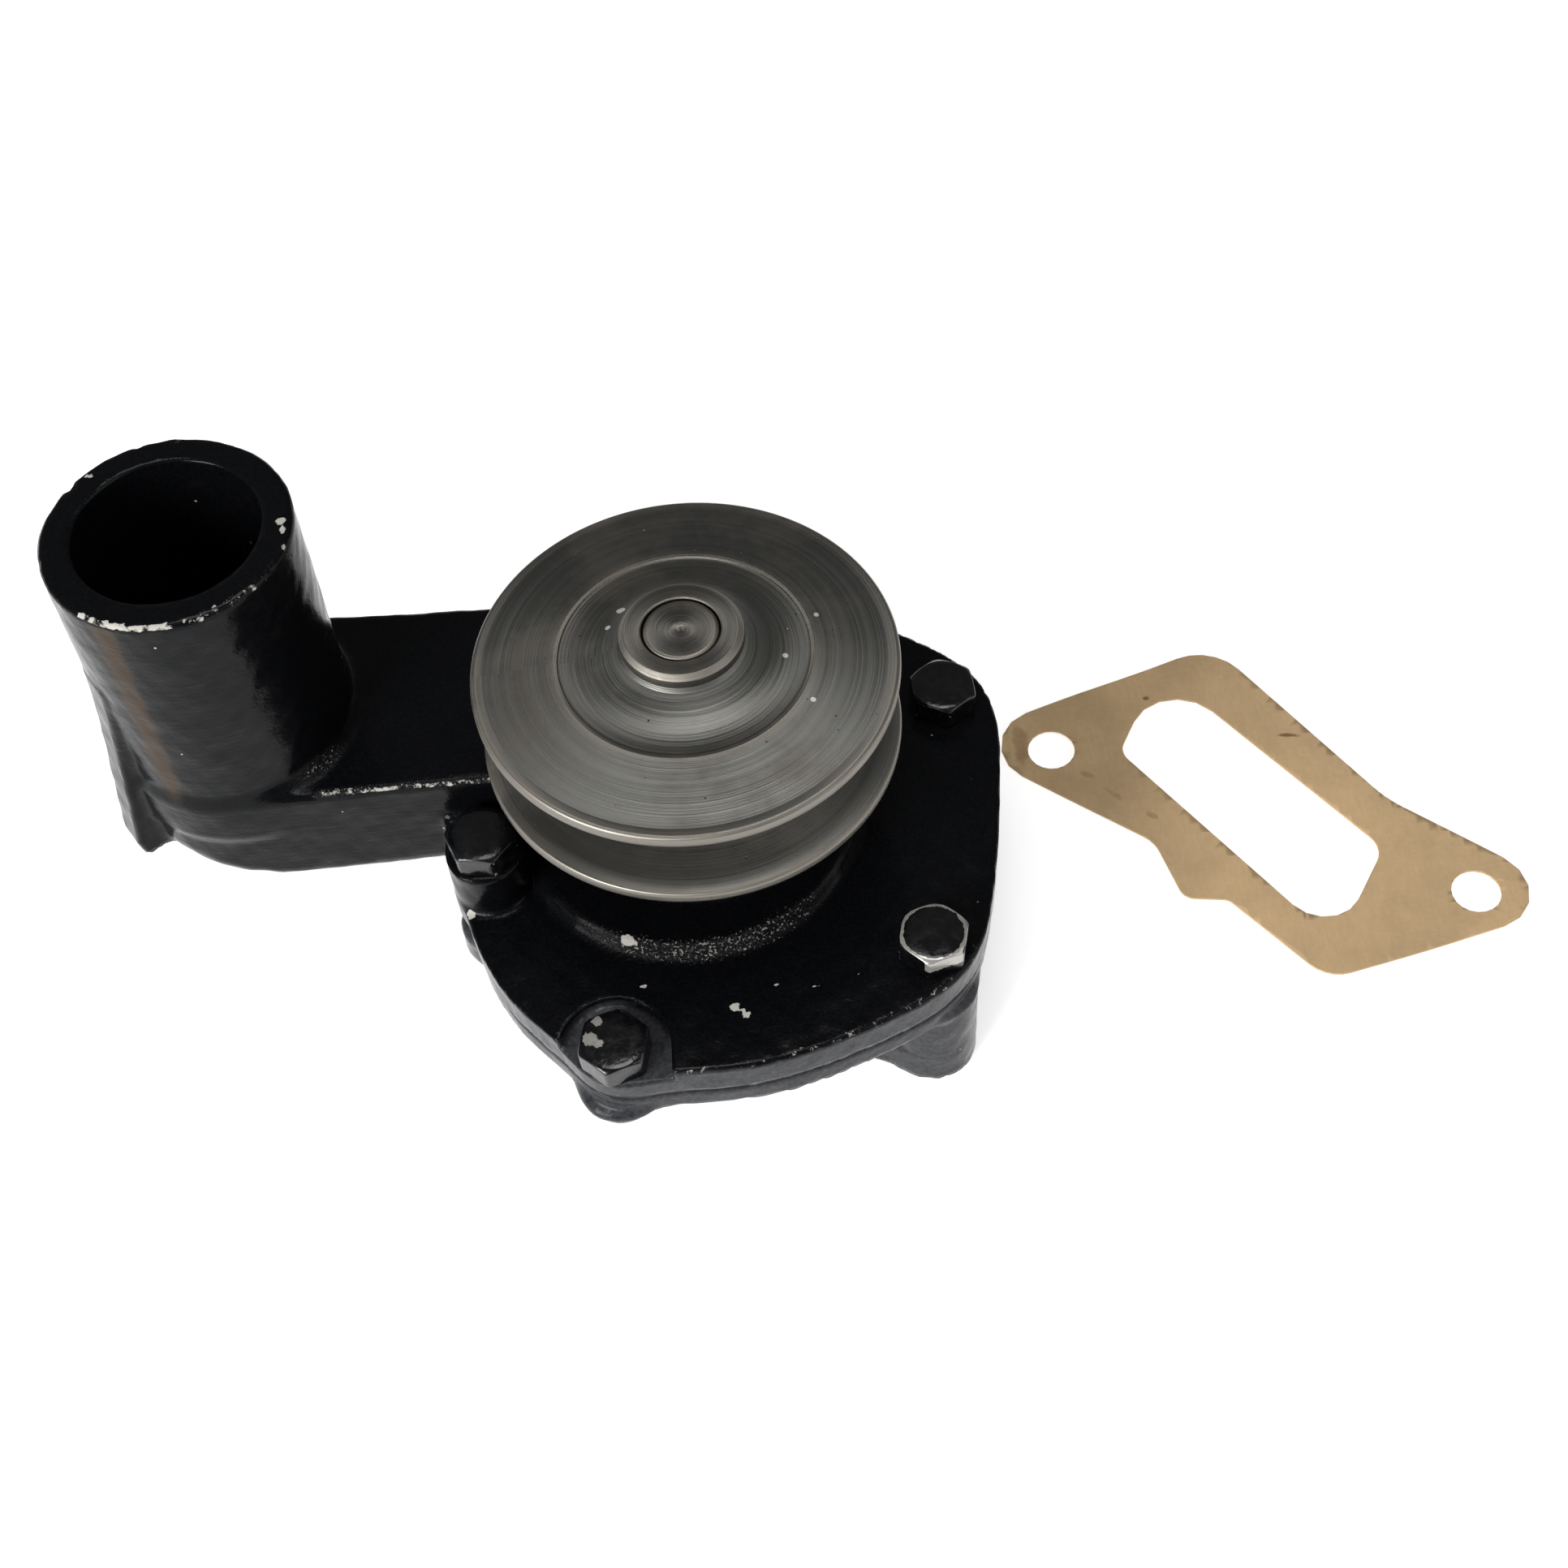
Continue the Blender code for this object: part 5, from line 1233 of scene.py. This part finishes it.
class PUMP_OT_bolts(bpy.types.Operator):
    """Build the cover bolts, the locating screw and its nut"""

    bl_idname = "pump.bolts"
    bl_label = "Bolts"

    def execute(self, context):
        s = Millimetres(looks().bolts)
        turns = looks().bolts.turns
        enamel = finish_once("bolt_enamel", lambda: bolt_enamel(looks().colours))
        spins = {"a": 18.0, "b": 16.6, "c": 35.0, "d": 51.0, "e": 22.0, "f": 40.0}
        for letter in BOLTS:
            low, high = BOLT_BOXES[letter]
            seat = high[2] - s.head
            points, faces, sizes, marks = hex_head(s.flats, s.head, s.shank, low[2] - seat, turns,
                                                   spin=math.radians(spins[letter]))
            centre = np.array((*bolt_place(letter), seat))
            piece = mesh_object(f"cover_bolt_{letter}_forged", points + centre, faces, sizes)
            point_value(piece, "edge", marks)
            point_value(piece, "worn", self.rubbed_and_glint(letter, point_places(piece), s))
            piece.data.set_sharp_from_angle(angle=math.radians(55.0))
            dress(piece, enamel, "casing", "bolt_paint", f"cover_bolt_{letter}")
        turn = np.array(Matrix.Translation((0.0, 0.0, SCREW_LEVEL))
                        @ Matrix.Rotation(math.radians(SCREW_ANGLE), 4, "Z")
                        @ Matrix.Rotation(math.radians(90.0), 4, "Y"))
        points, faces, sizes, marks = hex_head(NUT_FLATS, NUT_HEIGHT, 0.0, 0.0, NUT_TURNS, hole=NUT_HOLE_R)
        points = (points + (0.0, 0.0, NUT_SEAT)) @ turn[:3, :3].T + turn[:3, 3]
        piece = mesh_object("locating_screw_nut_forged", points, faces, sizes)
        point_value(piece, "edge", marks)
        piece.data.set_sharp_from_angle(angle=math.radians(55.0))
        dress(piece, enamel, "casing", "bolt_paint", "locating_screw_nut")
        return {"FINISHED"}

    @staticmethod
    def rubbed_and_glint(letter, points, s):
        """How rubbed each point of a bolt is: two knocks on bolt a, and on bolt b a painted highlight ring on
        the rim and a painted highlight on the front flank.
        """
        worn = knocked(points)
        if letter != "b":
            return worn
        out = points[:, :2] - bolt_place(letter)
        turn = np.degrees(np.arctan2(out[:, 1], out[:, 0]))
        drop = BOLT_BOXES[letter][1][2] - points[:, 2]
        # Painted highlight on bolt b: a pale ring along the top rim and a patch on the front flank.
        rim = (np.hypot(out[:, 0], out[:, 1]) > s.flats / 2 - 0.7) & (drop < 0.75)
        flank = (drop > 0.3) & (drop < 3.5) & (turn > -112.0) & (turn < -42.0)
        return np.maximum(worn, np.where(rim, 0.8, 0.0) + np.where(flank, 0.85, 0.0))


class PUMP_OT_gaskets(bpy.types.Operator):
    """Lay the loose gasket with its waves, and finish the gasket between the castings"""

    bl_idname = "pump.gaskets"
    bl_label = "Gaskets"

    def execute(self, context):
        s = Millimetres(looks().gasket)
        card = finish_once("gasket_card", lambda: gasket_card(looks().colours))
        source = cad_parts["outlet_gasket"].data
        work = bmesh.new()
        work.from_mesh(source)
        bmesh.ops.remove_doubles(work, verts=work.verts, dist=0.01 * MM)
        low, high = GASKET_BOX
        for axis in (0, 1):
            normal = Vector((1.0, 0.0, 0.0)) if axis == 0 else Vector((0.0, 1.0, 0.0))
            for level in np.arange(low[axis] + s.cell, high[axis], s.cell):
                place = normal * (level * MM)
                everything = [*work.verts, *work.edges, *work.faces]
                bmesh.ops.bisect_plane(work, geom=everything, dist=0.002 * MM, plane_co=place, plane_no=normal)
        mesh = bpy.data.meshes.new("outlet_gasket_card")
        work.to_mesh(mesh)
        work.free()
        piece = bpy.data.objects.new("outlet_gasket_card", mesh)
        points = self.waved(point_places(piece), s.lift)
        mesh.vertices.foreach_set("co", (points * MM).astype(np.float32).ravel())
        mesh.update()
        mesh.shade_smooth()
        mesh.set_sharp_from_angle(angle=math.radians(40.0))
        context.scene.collection.objects.link(piece)
        dress(piece, card, "loose_gasket", "gasket_paper", "outlet_gasket")
        painted = plain_finish("painted_gasket_edge", (0.020, 0.017, 0.014), (0.008, 0.007, 0.006),
                               0.45, 0.0, 500.0, 0.0001)
        refinish("body_gasket", painted)
        return {"FINISHED"}

    @staticmethod
    def waved(points, lift):
        """Raises each point by a slow wave, never below the ground: lift times a squared sine of place."""
        wave = np.sin(points[:, 0] / 17.0 + points[:, 1] / 29.0 + 0.6) ** 2
        points = points.copy()
        points[:, 2] += lift * wave
        return points


class PUMP_OT_inside(bpy.types.Operator):
    """Finish the impeller, the bearing and the water seal"""

    bl_idname = "pump.inside"
    bl_label = "Inner pieces"

    def execute(self, context):
        balls = [f"{row}_ball_{index}" for row in ("front", "rear") for index in range(1, 8)]
        cages = ["front_ball_cage", "rear_ball_cage"]
        rubbers = ["bearing_seal_front", "bearing_seal_rear", "water_slinger", "seal_bellows", "seal_seat_cup"]
        pale, dark = 0, 1
        finishes = (
            ("bare_cast_iron", ((0.20, 0.18, 0.165), (0.10, 0.085, 0.075)), 0.62, 0.75, 420.0, 0.0004,
             ["impeller"]),
            ("bearing_ground", ((0.66, 0.66, 0.67), (0.56, 0.56, 0.58)), 0.16, 1.0, 900.0, 0.00001,
             ["bearing_sleeve", *balls]),
            ("cage_nylon_moulded", ((0.60, 0.55, 0.44), (0.50, 0.45, 0.36)), 0.5, 0.0, 500.0, 0.00005, cages),
            ("seal_rubber_moulded", ((0.022,) * 3, (0.012,) * 3), 0.72, 0.0, 700.0, 0.00008, rubbers),
            ("seal_brass_pressed", ((0.74, 0.57, 0.29), (0.60, 0.44, 0.2)), 0.3, 1.0, 300.0, 0.00003,
             ["seal_case"]),
            ("seal_carbon_lapped", ((0.045, 0.045, 0.05), (0.025, 0.025, 0.03)), 0.42, 0.0, 800.0, 0.00003,
             ["seal_carbon_ring"]),
            ("seal_ceramic_lapped", ((0.87, 0.85, 0.80), (0.82, 0.79, 0.73)), 0.28, 0.0, 500.0, 0.00002,
             ["seal_ceramic_seat"]),
            ("spring_wire_drawn", ((0.60, 0.60, 0.61), (0.46, 0.46, 0.47)), 0.26, 1.0, 1200.0, 0.00002,
             ["seal_spring"]))
        for name, tones, roughness, metallic, scale, depth, nodes in finishes:
            finish = plain_finish(name, tones[pale], tones[dark], roughness, metallic, scale, depth)
            for node in nodes:
                refinish(node, finish)
        refinish("bearing_locating_screw", finish_once("bolt_enamel", lambda: bolt_enamel(looks().colours)))
        return {"FINISHED"}


class PUMP_OT_stage(bpy.types.Operator):
    """Set the pale ground, the soft lights and the camera"""

    bl_idname = "pump.stage"
    bl_label = "Stage"

    def execute(self, context):
        s = looks().stage
        half = 4000.0
        ground = mesh_object("ground", [(-half, -half, -0.2), (half, -half, -0.2), (half, half, -0.2),
                                        (-half, half, -0.2)], [(0, 1, 2, 3)])
        ground.data.materials.append(floor_finish())
        world = bpy.data.worlds.new("room")
        world.use_nodes = True
        room = world.node_tree.nodes["Background"]
        room.inputs["Color"].default_value = (1.0, 1.0, 1.0, 1.0)
        room.inputs["Strength"].default_value = s.sky
        context.scene.world = world
        context.scene.view_settings.view_transform = "Standard"
        self.lamp("top_light", (0.03, -0.02, 1.25), 0.55, s.top)
        self.lamp("main_light", (-0.78, -0.84, 0.58), 0.6, s.key)
        self.lamp("fill_light", (0.95, -0.45, 0.55), 0.9, s.fill)
        camera = bpy.data.cameras.new("view")
        camera.sensor_width = 36.0
        camera.lens = s.lens
        camera.clip_start = 0.01
        camera.clip_end = 50.0
        obj = bpy.data.objects.new("view", camera)
        tilt, roll = math.radians(54.24), math.radians(-4.44)
        level = np.array(((1.0, 0.0, 0.0), (0.0, -math.sin(tilt), -math.cos(tilt)),
                          (0.0, math.cos(tilt), -math.sin(tilt))))
        twist = np.array(((math.cos(roll), -math.sin(roll), 0.0), (math.sin(roll), math.cos(roll), 0.0),
                          (0.0, 0.0, 1.0)))
        axes = twist @ level
        place = -axes.T @ np.array((-20.65, -25.60, 479.15)) + (0.0, 0.0, 96.0)
        turn = Matrix([list(column) for column in np.stack((axes[0], -axes[1], -axes[2]), 1)])
        obj.matrix_world = Matrix.Translation(Vector(place * MM)) @ turn.to_4x4()
        context.scene.collection.objects.link(obj)
        context.scene.camera = obj
        return {"FINISHED"}

    @staticmethod
    def lamp(name, place, size, power):
        """A square soft light that faces the pump."""
        data = bpy.data.lights.new(name, "AREA")
        data.shape = "SQUARE"
        data.size = size
        data.energy = power
        obj = bpy.data.objects.new(name, data)
        obj.location = place
        obj.rotation_euler = (Vector((0.0, 0.0, 0.05)) - Vector(place)).to_track_quat("-Z", "Y").to_euler()
        bpy.context.scene.collection.objects.link(obj)


class PUMP_PT_looks(bpy.types.Panel):
    """Lists the pieces and their sizes in the sidebar"""

    bl_idname = "PUMP_PT_looks"
    bl_label = "Coolant Pump"
    bl_space_type = "VIEW_3D"
    bl_region_type = "UI"
    bl_category = "Pump"

    def draw(self, context):
        settings = context.scene.pump_looks
        for operator, group in (("pump.castings", settings.castings), ("pump.pulley", settings.pulley),
                                ("pump.bolts", settings.bolts), ("pump.gaskets", settings.gasket),
                                ("pump.inside", settings.colours), ("pump.stage", settings.stage)):
            box = self.layout.box()
            box.operator(operator)
            for name in group.__annotations__:
                box.prop(group, name)


CLASSES = (PumpCastingSizes, PumpPulleySizes, PumpBoltSizes, PumpGasketSizes, PumpColours, PumpStageSizes,
           PumpLooks, PUMP_OT_castings, PUMP_OT_pulley, PUMP_OT_bolts, PUMP_OT_gaskets, PUMP_OT_inside,
           PUMP_OT_stage, PUMP_PT_looks)


def register():
    for item in CLASSES:
        bpy.utils.register_class(item)
    bpy.types.Scene.pump_looks = PointerProperty(type=PumpLooks, name="Pump looks",
                                                 description="Sizes and colours of the pump")


def unregister():
    del bpy.types.Scene.pump_looks
    for item in reversed(CLASSES):
        bpy.utils.unregister_class(item)


def main():
    register()
    bpy.ops.pump.castings()
    bpy.ops.pump.pulley()
    bpy.ops.pump.bolts()
    bpy.ops.pump.gaskets()
    bpy.ops.pump.inside()
    bpy.ops.pump.stage()


if __name__ == "__main__":
    main()
